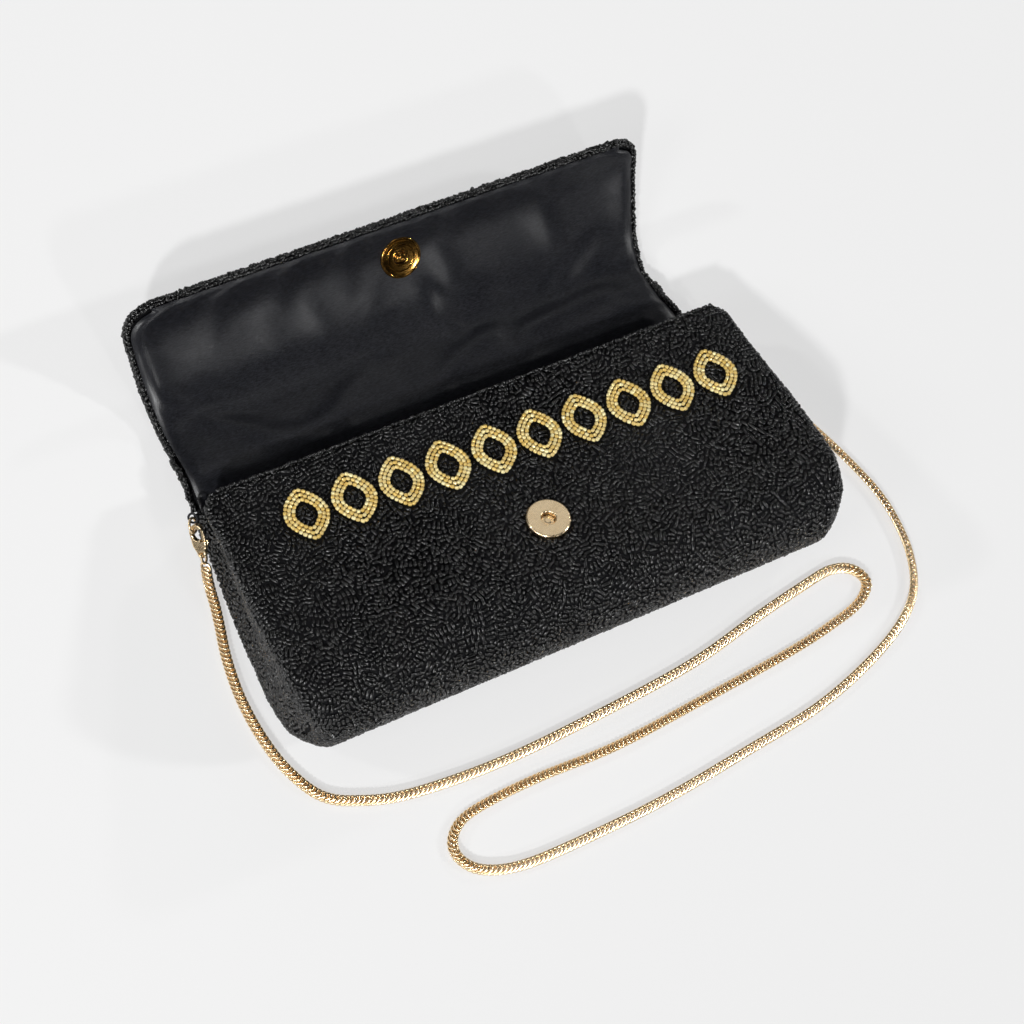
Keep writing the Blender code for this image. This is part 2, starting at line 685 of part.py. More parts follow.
def build():
    clear_scene()
    MATERIALS["beads"] = material("black_glass_beads", (0.012, 0.012, 0.014), 0.28, 0.0)
    MATERIALS["satin"] = material("black_satin", (0.022, 0.023, 0.027), 0.55, 0.0)
    MATERIALS["board"] = material("grey_board", (0.32, 0.31, 0.29), 0.9, 0.0)
    MATERIALS["pale_gold"] = material("pale_gold_plate", (0.86, 0.72, 0.47), 0.28, 1.0)
    MATERIALS["gold_beads"] = material("gold_lined_beads", (0.80, 0.62, 0.26), 0.3, 0.8)
    MATERIALS["dark_brass"] = material("aged_brass", (0.55, 0.38, 0.12), 0.3, 1.0)
    MATERIALS["steel"] = material("zinc_steel", (0.62, 0.62, 0.60), 0.4, 1.0)
    MATERIALS["magnet"] = material("ring_magnet", (0.12, 0.12, 0.13), 0.5, 0.6)

    front = joint_empty("front_axis", PIVOT)
    bridge = joint_empty("flap_hinge_axis", flap_section(0.0, 0.0))
    upper = joint_empty("flap_fold_axis", flap_section(FLAP_FOLD, 0.0), bridge)
    lower = joint_empty("flap_curl_axis", flap_section(FLAP_CURL, FLAP_SHELL[1]), upper)
    build_walls(front)
    build_gussets(front)
    build_socket(front)
    build_leaves(front)
    build_flap(bridge, upper, lower)
    build_stud(lower)
    for side, sign in (("left", 1), ("right", -1)):
        gate = joint_empty(f"gate_axis_{side}", gate_pivot(sign))
        build_hardware(side, sign, gate)
    build_chain()


build()
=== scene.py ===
import json
import math
import random

import bmesh
import bpy
import numpy as np
from mathutils import Matrix, Vector


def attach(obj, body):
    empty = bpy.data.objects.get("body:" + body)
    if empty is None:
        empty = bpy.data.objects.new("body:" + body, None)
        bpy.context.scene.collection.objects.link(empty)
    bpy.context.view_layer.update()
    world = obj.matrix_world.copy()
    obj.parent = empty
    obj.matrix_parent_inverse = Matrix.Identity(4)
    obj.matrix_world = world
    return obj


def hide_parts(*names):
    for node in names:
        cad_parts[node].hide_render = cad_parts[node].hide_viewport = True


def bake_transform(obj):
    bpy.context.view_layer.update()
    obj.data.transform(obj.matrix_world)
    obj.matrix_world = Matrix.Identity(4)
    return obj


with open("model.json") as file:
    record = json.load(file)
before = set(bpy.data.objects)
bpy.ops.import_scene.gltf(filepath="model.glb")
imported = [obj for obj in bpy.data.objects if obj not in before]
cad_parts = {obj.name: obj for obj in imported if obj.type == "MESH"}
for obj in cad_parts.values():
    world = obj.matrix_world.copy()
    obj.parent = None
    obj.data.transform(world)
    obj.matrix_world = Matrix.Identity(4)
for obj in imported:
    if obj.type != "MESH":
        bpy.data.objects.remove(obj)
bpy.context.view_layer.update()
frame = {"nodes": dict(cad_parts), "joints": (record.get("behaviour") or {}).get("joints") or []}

mm = 0.001
joints = {joint["name"]: np.array(joint["pos_m"]) for joint in frame["joints"]}
across = np.array((1.0, 0.0, 0.0))


cameraSettings = {
    "place": (-0.37221, -0.18987, 0.99012),
    "lookAt": (0.00425, 0.00900, 0.0),
    "roll": 38.44,
    "lens": 92.05,
}


def addCamera():
    data = bpy.data.cameras.new("photoCamera")
    data.lens = cameraSettings["lens"]
    data.sensor_width = 36
    camera = bpy.data.objects.new("photoCamera", data)
    bpy.context.scene.collection.objects.link(camera)
    place = Vector(cameraSettings["place"])
    aim = (Vector(cameraSettings["lookAt"]) - place).to_track_quat("-Z", "Y").to_matrix().to_4x4()
    roll = Matrix.Rotation(math.radians(cameraSettings["roll"]), 4, "Z")
    camera.matrix_world = Matrix.Translation(place) @ aim @ roll
    bpy.context.scene.camera = camera


def smoothStep(t):
    t = np.clip(t, 0.0, 1.0)
    return t * t * (3 - 2 * t)


def unit(vectors):
    return vectors / np.maximum(np.linalg.norm(vectors, axis=-1, keepdims=True), 1e-12)


# Catmull-Rom through the points, as a dense polyline.
def smoothCurve(points, steps):
    points = np.asarray(points, float)
    ends = np.vstack((2 * points[0] - points[1], points, 2 * points[-1] - points[-2]))
    at = np.linspace(0, len(points) - 1 - 1e-9, steps)
    k = at.astype(int)
    t = (at - k)[:, None]
    p0, p1, p2, p3 = ends[k], ends[k + 1], ends[k + 2], ends[k + 3]
    return 0.5 * (2 * p1 + (p2 - p0) * t + (2 * p0 - 5 * p1 + 4 * p2 - p3) * t**2
                  + (3 * p1 - p0 - 3 * p2 + p3) * t**3)


def runAlong(points):
    return np.concatenate(([0.0], np.cumsum(np.linalg.norm(np.diff(points, axis=0), axis=1))))


# The polyline again, with its points at even distances.
def evenPoints(points, count):
    run = runAlong(points)
    at = np.linspace(0, run[-1], count)
    return np.stack([np.interp(at, run, points[:, k]) for k in range(points.shape[1])], axis=1)


def linkMesh(name, mesh, finish, smooth=True):
    mesh.materials.append(finish)
    if smooth:
        mesh.shade_smooth()
    piece = bpy.data.objects.new(name, mesh)
    bpy.context.scene.collection.objects.link(piece)
    return piece


def fromFaces(name, points, faces, finish, smooth=True):
    mesh = bpy.data.meshes.new(name)
    mesh.from_pydata([tuple(p) for p in np.asarray(points).reshape(-1, 3)], [], faces)
    mesh.validate()
    return linkMesh(name, mesh, finish, smooth)


def gridFaces(rows, columns, start=0, wrapColumns=False, wrapRows=False):
    faces = []
    for i in range(rows if wrapRows else rows - 1):
        for j in range(columns if wrapColumns else columns - 1):
            a, b = i * columns + j, i * columns + (j + 1) % columns
            c, d = ((i + 1) % rows) * columns + (j + 1) % columns, ((i + 1) % rows) * columns + j
            faces.append((start + a, start + b, start + c, start + d))
    return faces


# A closed sheet between two grids of points of the same size.
def thickSheet(name, top, bottom, finish, underside=None):
    rows, columns = top.shape[:2]
    count = rows * columns
    faces = gridFaces(rows, columns)
    faces += [face[::-1] for face in gridFaces(rows, columns, count)]
    rim = [(0, j) for j in range(columns)] + [(i, columns - 1) for i in range(1, rows)]
    rim += [(rows - 1, j) for j in range(columns - 2, -1, -1)] + [(i, 0) for i in range(rows - 2, 0, -1)]
    rim = [i * columns + j for i, j in rim]
    edge = []
    for a, b in zip(rim, rim[1:] + rim[:1]):
        edge.append((b, a, a + count, b + count))
    piece = fromFaces(name, np.concatenate((top.reshape(-1, 3), bottom.reshape(-1, 3))), faces + edge, finish)
    if underside is not None:
        piece.data.materials.append(underside)
        inner = (rows - 1) * (columns - 1)
        for polygon in piece.data.polygons[inner : 2 * inner]:
            polygon.material_index = 1
    return piece


# A round bar along a closed path.
def sweep(name, path, radii, finish, sides, up):
    path = np.asarray(path, float)
    along = unit(np.roll(path, -1, 0) - np.roll(path, 1, 0))
    side = unit(np.cross(along, np.broadcast_to(np.asarray(up, float), path.shape)))
    lift = np.cross(side, along)
    turn = np.linspace(0, math.tau, sides, endpoint=False)
    radii = np.broadcast_to(np.asarray(radii, float), (len(path),))
    ring = side[:, None] * np.cos(turn)[None, :, None] + lift[:, None] * np.sin(turn)[None, :, None]
    points = path[:, None] + ring * radii[:, None, None]
    return fromFaces(name, points, gridFaces(len(path), sides, wrapColumns=True, wrapRows=True), finish)


# A turned piece. The profile is (radius, height) along its axis.
def lathe(name, profile, centre, axis, finish, segments=72):
    axis = Vector(axis).normalized()
    turnTo = np.array(Vector((0, 0, 1)).rotation_difference(axis).to_matrix())
    turn = np.linspace(0, math.tau, segments, endpoint=False)
    rings = []
    for radius, height in profile:
        ring = np.stack((radius * np.cos(turn), radius * np.sin(turn), height + 0 * turn), axis=1)
        rings.append(ring @ turnTo.T + np.array(centre))
    count = len(profile)
    faces = gridFaces(count, segments, wrapColumns=True)
    points = np.concatenate(rings)
    piece = fromFaces(name, points, faces, finish)
    bm = bmesh.new()
    bm.from_mesh(piece.data)
    bmesh.ops.remove_doubles(bm, verts=bm.verts, dist=1e-6)
    bmesh.ops.holes_fill(bm, edges=[e for e in bm.edges if e.is_boundary])
    bmesh.ops.recalc_face_normals(bm, faces=bm.faces)
    bm.to_mesh(piece.data)
    bm.free()
    piece.data.set_sharp_from_angle(angle=math.radians(40))
    return piece


# Rounds the corners of a turned profile.
def softProfile(points, bevel, steps=3):
    points = [np.array(p, float) for p in points]
    made = [points[0]]
    for before, corner, after in zip(points, points[1:], points[2:]):
        reachIn = min(bevel, np.linalg.norm(before - corner) * 0.45)
        reachOut = min(bevel, np.linalg.norm(after - corner) * 0.45)
        start = corner + unit(before - corner) * reachIn
        end = corner + unit(after - corner) * reachOut
        for k in range(steps + 1):
            t = k / steps
            made.append(start * (1 - t) ** 2 + corner * 2 * t * (1 - t) + end * t * t)
    made.append(points[-1])
    return made


def newMaterial(name, colour, roughness, metallic=0.0, **more):
    material = bpy.data.materials.new(name)
    material.use_nodes = True
    shader = material.node_tree.nodes["Principled BSDF"]
    shader.inputs["Base Color"].default_value = (*colour, 1.0)
    shader.inputs["Roughness"].default_value = roughness
    shader.inputs["Metallic"].default_value = metallic
    for socket, value in more.items():
        shader.inputs[socket.replace("_", " ")].default_value = value
    return material, shader


def addNode(tree, kind, **settings):
    node = tree.nodes.new(kind)
    for key, value in settings.items():
        if hasattr(node, key):
            setattr(node, key, value)
        else:
            node.inputs[key.replace("_", " ")].default_value = value
    return node


def newGroup(name, inputs, outputs):
    group = bpy.data.node_groups.new(name, "ShaderNodeTree")
    for label, kind, value in inputs:
        socket = group.interface.new_socket(label, in_out="INPUT", socket_type=kind)
        socket.default_value = value
    for label, kind in outputs:
        group.interface.new_socket(label, in_out="OUTPUT", socket_type=kind)
    return group, group.nodes.new("NodeGroupInput"), group.nodes.new("NodeGroupOutput")


# Any of the three may be a socket or a value.
def mixColour(tree, factor, first, second):
    node = tree.nodes.new("ShaderNodeMix")
    node.data_type = "RGBA"
    for socket, value in ((0, factor), (6, first), (7, second)):
        if isinstance(value, bpy.types.NodeSocket):
            tree.links.new(value, node.inputs[socket])
        else:
            node.inputs[socket].default_value = value
    return node.outputs[2]


def mapValue(tree, socket, low, high, toLow, toHigh):
    node = addNode(tree, "ShaderNodeMapRange")
    tree.links.new(socket, node.inputs[0])
    for k, value in enumerate((low, high, toLow, toHigh)):
        node.inputs[k + 1].default_value = value
    return node.outputs[0]


def objectNoise(tree, scale, detail=3.0, roughness=0.5, stretch=None):
    where = tree.nodes.new("ShaderNodeTexCoord")
    source = where.outputs["Object"]
    if stretch is not None:
        mapping = tree.nodes.new("ShaderNodeMapping")
        mapping.inputs["Scale"].default_value = stretch
        tree.links.new(source, mapping.inputs["Vector"])
        source = mapping.outputs[0]
    noise = addNode(tree, "ShaderNodeTexNoise", Scale=scale, Detail=detail, Roughness=roughness)
    tree.links.new(source, noise.inputs["Vector"])
    return noise.outputs["Fac"]


# Fine handling marks on plated metal: a tarnish colour and a roughness that change over the
# surface.
def buildWearGroup():
    group, entry, leave = newGroup(
        "platedWear",
        [("Colour", "NodeSocketColor", (0.8, 0.6, 0.3, 1)),
         ("Tarnish", "NodeSocketColor", (0.3, 0.2, 0.1, 1)),
         ("Amount", "NodeSocketFloat", 0.3), ("Roughness", "NodeSocketFloat", 0.25)],
        [("Colour", "NodeSocketColor"), ("Roughness", "NodeSocketFloat"), ("Height", "NodeSocketFloat")],
    )
    blotch = mapValue(group, objectNoise(group, 260.0, 4.0, 0.6), 0.42, 0.72, 0.0, 1.0)
    share = addNode(group, "ShaderNodeMath", operation="MULTIPLY")
    group.links.new(blotch, share.inputs[0])
    group.links.new(entry.outputs["Amount"], share.inputs[1])
    tint = mixColour(group, share.outputs[0], entry.outputs["Colour"], entry.outputs["Tarnish"])
    group.links.new(tint, leave.inputs["Colour"])
    scratch = objectNoise(group, 900.0, 2.0, 0.7, (1.0, 6.0, 1.0))
    rough = addNode(group, "ShaderNodeMath", operation="ADD")
    group.links.new(entry.outputs["Roughness"], rough.inputs[0])
    group.links.new(mapValue(group, scratch, 0.3, 0.7, -0.05, 0.12), rough.inputs[1])
    group.links.new(rough.outputs[0], leave.inputs["Roughness"])
    group.links.new(scratch, leave.inputs["Height"])
    return group


# Satin: long floats one way and fine slubs, painted lighter towards a second colour, which on the satin is a
# painted sheen and sparkle on its threads; and a cloudy change of sheen through the roughness.
def buildWeaveAndSheenGroup():
    group, entry, leave = newGroup(
        "satinWeaveAndSheen",
        [("Colour", "NodeSocketColor", (0.02, 0.02, 0.02, 1)),
         ("Lift", "NodeSocketColor", (0.05, 0.05, 0.06, 1)),
         ("Roughness", "NodeSocketFloat", 0.45)],
        [("Colour", "NodeSocketColor"), ("Roughness", "NodeSocketFloat"), ("Height", "NodeSocketFloat")],
    )
    floats = objectNoise(group, 1500.0, 2.0, 0.6, (0.35, 2.2, 2.2))
    grain = objectNoise(group, 5200.0, 1.0, 0.5)
    cloud = objectNoise(group, 55.0, 3.0, 0.55)
    together = addNode(group, "ShaderNodeMath", operation="MULTIPLY_ADD")
    group.links.new(grain, together.inputs[0])
    together.inputs[1].default_value = 0.55
    group.links.new(floats, together.inputs[2])
    # the floats and grain are painted lighter: thread texture, and on the satin a painted sheen and sparkle
    grainSheenMask = mapValue(group, together.outputs[0], 0.6, 1.0, 0.0, 1.0)
    tint = mixColour(group, grainSheenMask, entry.outputs["Colour"], entry.outputs["Lift"])
    group.links.new(tint, leave.inputs["Colour"])
    rough = addNode(group, "ShaderNodeMath", operation="ADD")
    group.links.new(entry.outputs["Roughness"], rough.inputs[0])
    group.links.new(mapValue(group, cloud, 0.3, 0.7, -0.06, 0.08), rough.inputs[1])
    group.links.new(rough.outputs[0], leave.inputs["Roughness"])
    group.links.new(together.outputs[0], leave.inputs["Height"])
    return group


# Glass beads differ a little from one to the next: each bead carries its own tone.
def buildToneGroup():
    group, entry, leave = newGroup(
        "beadTones",
        [("Dark", "NodeSocketColor", (0.01, 0.01, 0.01, 1)),
         ("Light", "NodeSocketColor", (0.03, 0.03, 0.03, 1)),
         ("Smooth", "NodeSocketFloat", 0.1), ("Rough", "NodeSocketFloat", 0.3)],
        [("Colour", "NodeSocketColor"), ("Roughness", "NodeSocketFloat")],
    )
    tone = addNode(group, "ShaderNodeAttribute", attribute_name="beadTone")
    smear = objectNoise(group, 1400.0, 2.0, 0.6)
    tint = mixColour(group, tone.outputs["Fac"], entry.outputs["Dark"], entry.outputs["Light"])
    group.links.new(tint, leave.inputs["Colour"])
    spread = addNode(group, "ShaderNodeMapRange")
    group.links.new(tone.outputs["Fac"], spread.inputs[0])
    group.links.new(entry.outputs["Smooth"], spread.inputs[3])
    group.links.new(entry.outputs["Rough"], spread.inputs[4])
    rough = addNode(group, "ShaderNodeMath", operation="ADD")
    group.links.new(spread.outputs[0], rough.inputs[0])
    group.links.new(mapValue(group, smear, 0.35, 0.7, 0.0, 0.06), rough.inputs[1])
    group.links.new(rough.outputs[0], leave.inputs["Roughness"])
    return group


def useGroup(material, shader, group, bump, **values):
    tree = material.node_tree
    node = tree.nodes.new("ShaderNodeGroup")
    node.node_tree = group
    for label, value in values.items():
        node.inputs[label].default_value = value
    tree.links.new(node.outputs["Colour"], shader.inputs["Base Color"])
    tree.links.new(node.outputs["Roughness"], shader.inputs["Roughness"])
    if bump:
        relief = addNode(tree, "ShaderNodeBump", Strength=bump[0], Distance=bump[1])
        tree.links.new(node.outputs["Height"], relief.inputs["Height"])
        tree.links.new(relief.outputs[0], shader.inputs["Normal"])


beadFinishes = {
    # each bead takes its own tone between dark and light, and between smooth and rough
    "blackBeads": {
        "name": "blackGlassBeads",
        "dark": (0.0006, 0.0006, 0.0008),
        "light": (0.002, 0.002, 0.0024),
        "smooth": 0.20,
        "rough": 0.31,
        "metallic": 0.0,
        "sockets": {"Specular_IOR_Level": 0.60},
    },
    "goldBeads": {
        "name": "goldLinedBeads",
        "dark": (0.86, 0.60, 0.17),
        "light": (1.0, 0.90, 0.50),
        "smooth": 0.06,
        "rough": 0.22,
        "metallic": 0.30,
        "sockets": {"Coat_Weight": 1.0},
    },
}
clothFinishes = {
    # lift is the colour of the raised threads and fine grain, which on the satin is a painted sheen and
    # sparkle, and bump is a strength and a depth
    "satin": {
        "name": "blackSatin",
        "colour": (0.003, 0.003, 0.004),
        # painted bluish sheen and sparkle on the satin's threads
        "lift": (0.020, 0.021, 0.026),
        "roughness": 0.34,
        "bump": (0.35, 0.12 * mm),
        "sockets": {
            "Specular_IOR_Level": 0.30, "Sheen_Weight": 0.02, "Sheen_Roughness": 0.4, "Anisotropic": 0.3,
        },
    },
    "groundCloth": {
        "name": "groundCloth",
        "colour": (0.003, 0.003, 0.004),
        "lift": (0.010, 0.010, 0.011),
        "roughness": 0.75,
        "bump": (0.5, 0.2 * mm),
        "sockets": {"Specular_IOR_Level": 0.1},
    },
    "board": {
        "name": "greyBoard",
        "colour": (0.26, 0.25, 0.23),
        "lift": (0.40, 0.39, 0.36),
        "roughness": 0.85,
        "bump": (0.4, 0.2 * mm),
        "sockets": {},
    },
}
metalFinishes = {
    # amount is how much of the metal the tarnish takes
    "paleGold": {
        "name": "paleGoldPlate",
        "colour": (0.97, 0.76, 0.48),
        "tarnish": (0.72, 0.48, 0.24),
        "amount": 0.25,
        "roughness": 0.22,
        "metallic": 1.0,
        "bump": (0.12, 0.05 * mm),
    },
    "darkBrass": {
        "name": "agedBrass",
        "colour": (0.38, 0.20, 0.045),
        "tarnish": (0.06, 0.03, 0.008),
        "amount": 0.75,
        "roughness": 0.12,
        "metallic": 1.0,
        "bump": (0.12, 0.05 * mm),
    },
    "steel": {
        "name": "zincSteel",
        "colour": (0.62, 0.62, 0.60),
        "tarnish": (0.3, 0.3, 0.3),
        "amount": 0.5,
        "roughness": 0.35,
        "metallic": 1.0,
        "bump": (0.15, 0.05 * mm),
    },
    "magnet": {
        "name": "ringMagnet",
        "colour": (0.12, 0.12, 0.13),
        "tarnish": (0.05, 0.05, 0.05),
        "amount": 0.5,
        "roughness": 0.5,
        "metallic": 0.6,
        "bump": (0.2, 0.1 * mm),
    },
}


def buildMaterials():
    made = {}
    tones = buildToneGroup()
    for key, bead in beadFinishes.items():
        plain = bead["name"], bead["dark"], bead["rough"], bead["metallic"]
        material, shader = newMaterial(*plain, **bead["sockets"])
        useGroup(material, shader, tones, None, Dark=(*bead["dark"], 1), Light=(*bead["light"], 1),
                 Smooth=bead["smooth"], Rough=bead["rough"])
        made[key] = material
    weaveAndSheen = buildWeaveAndSheenGroup()
    for key, cloth in clothFinishes.items():
        material, shader = newMaterial(cloth["name"], cloth["colour"], cloth["roughness"], **cloth["sockets"])
        useGroup(material, shader, weaveAndSheen, cloth["bump"], Colour=(*cloth["colour"], 1),
                 Lift=(*cloth["lift"], 1), Roughness=cloth["roughness"])
        made[key] = material
    wear = buildWearGroup()
    for key, plate in metalFinishes.items():
        material, shader = newMaterial(plate["name"], plate["colour"], plate["roughness"], plate["metallic"])
        useGroup(material, shader, wear, plate["bump"], Colour=(*plate["colour"], 1),
                 Tarnish=(*plate["tarnish"], 1), Amount=plate["amount"], Roughness=plate["roughness"])
        made[key] = material
    return made


# The chain strap: links along the route that the part gives.
chainSettings = {
    "width": 4.0 * mm,
    "linkLength": 5.4 * mm,
    "wire": 0.60 * mm,
    "rise": 1.05 * mm,  # how far a link's front end lies over the next link
    "twist": 0.25,  # share of that by which its two sides differ
    "oval": 0.92,
    "slant": 30.0,  # degrees that a link leans across the chain
    "linkPoints": 28,
    "wireSides": 8,
    "pitch": 2.0 * mm,
    "length": 0.968,  # metres, from clasp to clasp
    "routeSamples": 1201,
}
chainRoute = [
    (-124.3, 88.2, 6.9), (-125.0, 84.6, 4.6), (-125.6, 79.5, 2.5), (-126.4, 73.0, 2.0), (-128.0, 65.0, 2.0),
    (-131.0, 51.0, 2.0), (-132.4, 34.0, 2.0), (-131.0, 16.5, 2.0), (-127.0, 1.0, 2.0),
    (-119.0, -13.0, 2.0), (-106.0, -20.5, 2.0), (-86.0, -26.0, 2.0), (-50.0, -28.6, 2.0),
    (-10.0, -27.4, 2.0), (44.0, -23.2, 2.0), (83.0, -15.6, 2.0), (106.0, -11.6, 2.0),
    (121.0, -9.8, 2.0), (130.5, -13.0, 2.0), (134.0, -20.5, 2.0), (127.0, -27.0, 2.0),
    (113.0, -30.8, 2.0), (88.0, -34.6, 2.0), (42.0, -38.4, 2.0), (0.0, -41.3, 2.0),
    (-34.0, -40.4, 2.0), (-58.0, -41.2, 2.0), (-71.5, -43.6, 2.0), (-78.6, -49.6, 2.0),
    (-79.0, -57.2, 2.0), (-72.5, -64.5, 2.0), (-58.0, -69.2, 2.0), (-34.0, -70.2, 2.0),
    (8.0, -69.0, 2.0), (52.0, -64.6, 2.0), (88.0, -60.2, 2.0), (118.0, -52.0, 2.0),
    (140.0, -42.2, 2.0), (152.5, -31.4, 2.0), (158.6, -17.0, 2.0), (160.0, -2.0, 2.0),
    (158.6, 12.0, 2.0), (154.4, 26.0, 2.0), (148.4, 41.5, 2.0), (141.5, 56.5, 2.0),
    (133.8, 70.0, 2.0), (128.2, 79.0, 2.6), (125.2, 84.6, 4.6), (124.3, 88.2, 6.9),
]
originAlong = 55.2 * mm  # the part's origin lies this far from the end of the base


def buildChain(gold):
    route = np.array(chainRoute) * mm - np.array((0, originAlong, 0))
    path = smoothCurve(route, chainSettings["routeSamples"])
    run = runAlong(path)
    count = int(run[-1] / chainSettings["pitch"])
    at = (np.arange(count) + 0.5) * run[-1] / count
    centre = np.stack([np.interp(at, run, path[:, k]) for k in range(3)], axis=1)
    along = unit(np.gradient(centre, axis=0))
    side = unit(np.cross(along, np.broadcast_to((0.0, 0.0, 1.0), along.shape)))
    lift = np.cross(side, along)
    turn = np.linspace(0, math.tau, chainSettings["linkPoints"], endpoint=False)
    wire = chainSettings["wire"]
    # One link: an oval ring that leans, so that it lies over one neighbour and under the other.
    lengthwise = (chainSettings["linkLength"] / 2 - wire) * np.cos(turn)
    crosswise = chainSettings["oval"] * (chainSettings["width"] / 2 - wire) * np.sin(turn)
    slant = math.radians(chainSettings["slant"])
    forward = lengthwise * math.cos(slant) + crosswise * math.sin(slant)
    wide = crosswise * math.cos(slant) - lengthwise * math.sin(slant)
    high = chainSettings["rise"] * (np.cos(turn) + chainSettings["twist"] * np.sin(2 * turn))
    ring = np.stack((forward, wide, high), axis=1)
    ringAlong = unit(np.roll(ring, -1, 0) - np.roll(ring, 1, 0))
    outward = unit(ring * (1, 1, 0))
    outward = unit(outward - ringAlong * (outward * ringAlong).sum(1, keepdims=True))
    other = np.cross(ringAlong, outward)
    sides = chainSettings["wireSides"]
    spin = np.linspace(0, math.tau, sides, endpoint=False)
    tube = ring[:, None] + wire * (
        outward[:, None] * np.cos(spin)[None, :, None] + other[:, None] * np.sin(spin)[None, :, None]
    )
    template = tube.reshape(-1, 3)
    points = (
        centre[:, None]
        + along[:, None] * template[None, :, 0:1]
        + side[:, None] * template[None, :, 1:2]
        + lift[:, None] * template[None, :, 2:3]
    )
    faces = []
    for k in range(count):
        faces += gridFaces(len(turn), sides, k * len(template), wrapColumns=True, wrapRows=True)
    chain = fromFaces("chainStrap", points, faces, gold)
    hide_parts("chain_strap")
    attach(chain, "root")
    return chain, evenPoints(path, 400)


# Beaded cloth: beads sewn in short rows over a surface.
beadSettings = {
    "width": 1.75 * mm,
    "lengths": (3.8 * mm, 3.0 * mm, 2.4 * mm, 1.8 * mm),
    "lengthShares": (0.22, 0.48, 0.78, 1.0),
    "cell": 0.2 * mm,
    "gap": 0.06 * mm,
    "headings": 36,
    "rowMost": 2,
    "tuck": 0.24 * mm,  # how far a bead may press against its neighbour
    "sideways": 0.9,  # share of rows whose beads lie side by side
    "rowTurn": 0.20,  # how much a row bends from bead to bead
    "fillerRoom": 1.3 * mm,  # a gap this wide gets a short bead
    "tip": 0.12,  # how far a bead's own axes stray from the cloth's
    "nose": 0.11,
}


# The cells that a bead covers, as offsets from its middle.
def makeStamp(length, width, heading):
    cell = beadSettings["cell"]
    reach = int(math.hypot(length, width) / 2 / cell) + 1
    i, j = np.mgrid[-reach : reach + 1, -reach : reach + 1]
    run = (i * math.cos(heading) + j * math.sin(heading)) * cell
    off = (-i * math.sin(heading) + j * math.cos(heading)) * cell
    tuck = beadSettings["tuck"]
    inside = (np.abs(run) <= (length - tuck) / 2) & (np.abs(off) <= (width - tuck) / 2)
    return i[inside], j[inside]


# Fills the free cells with beads. Returns rows of (i, j, heading, length), in cells and metres.
def sowBeads(free, seed):
    rng = random.Random(seed)
    cell, width = beadSettings["cell"], beadSettings["width"]
    pad = int(beadSettings["lengths"][0] / cell) + 4
    taken = np.ones((free.shape[0] + 2 * pad, free.shape[1] + 2 * pad), bool)
    taken[pad:-pad, pad:-pad] = ~free
    steps = beadSettings["headings"]
    stamps = [
        [makeStamp(length, width, math.pi * h / steps) for h in range(steps)]
        for length in beadSettings["lengths"]
    ]
    high, wide = taken.shape
    sown = []

    def place(i, j, heading, kind):
        ii, jj = int(i), int(j)
        if not (pad <= ii < high - pad and pad <= jj < wide - pad) or taken[ii, jj]:
            return False
        di, dj = stamps[kind][int(round(heading / math.pi * steps)) % steps]
        if taken[ii + di, jj + dj].any():
            return False
        taken[ii + di, jj + dj] = True
        sown.append((i - pad, j - pad, heading, beadSettings["lengths"][kind]))
        return True

    starts = np.argwhere(~taken[::2, ::2]) * 2
    order = np.random.RandomState(seed).permutation(len(starts))
    for i, j in starts[order]:
        if taken[i, j]:
            continue
        pick = rng.random()
        kind = next(k for k, share in enumerate(beadSettings["lengthShares"]) if pick <= share)
        heading = rng.random() * math.pi
        for attempt in range(4):
            if place(i, j, heading, kind):
                break
            heading += 0.8
            kind = min(kind + 1, 3)
        else:
            continue
        sideways = rng.random() < beadSettings["sideways"]
        for way in (1, -1):
            ri, rj, turned = float(i), float(j), heading
            for bead in range(rng.randint(1, beadSettings["rowMost"])):
                turned += rng.gauss(0, beadSettings["rowTurn"])
                length = beadSettings["lengths"][kind]
                pitch = (width if sideways else length) + beadSettings["gap"]
                direction = turned + (math.pi / 2 if sideways else 0.0)
                ri += way * pitch / cell * math.cos(direction)
                rj += way * pitch / cell * math.sin(direction)
                if not place(ri, rj, turned, kind):
                    break
    # Short beads fill what gaps are left.
    need = int(beadSettings["fillerRoom"] / cell)
    total = np.cumsum(np.cumsum(np.pad(taken.astype(np.int32), ((1, 0), (1, 0))), 0), 1)
    sums = total[need:, need:] - total[:-need, need:] - total[need:, :-need] + total[:-need, :-need]
    spots = np.argwhere(sums == 0) + need // 2
    order = np.random.RandomState(seed + 1).permutation(len(spots))
    for i, j in spots[order]:
        if not taken[i, j]:
            place(i, j, rng.random() * math.pi, 3)
    return np.array(sown)


# One bead along its first axis, of length 1 and width 1: its rings of points and its faces.
def beadTemplate(sides, rounded):
    if rounded:
        rings = ((-0.5, 0.26), (-0.42, 0.40), (-0.2, 0.5), (0.2, 0.5), (0.42, 0.40), (0.5, 0.26))
    else:
        rings = ((-0.5, 0.36), (-0.42, 0.5), (0.42, 0.5), (0.5, 0.36))
    turn = np.linspace(0, math.tau, sides, endpoint=False)
    points = np.concatenate(
        [np.stack((0 * turn + x, r * np.cos(turn), r * np.sin(turn)), axis=1) for x, r in rings]
    )
    quads = np.array(gridFaces(len(rings), sides, wrapColumns=True))
    caps = np.array((np.arange(sides)[::-1], (len(rings) - 1) * sides + np.arange(sides)))
    return points, quads, caps


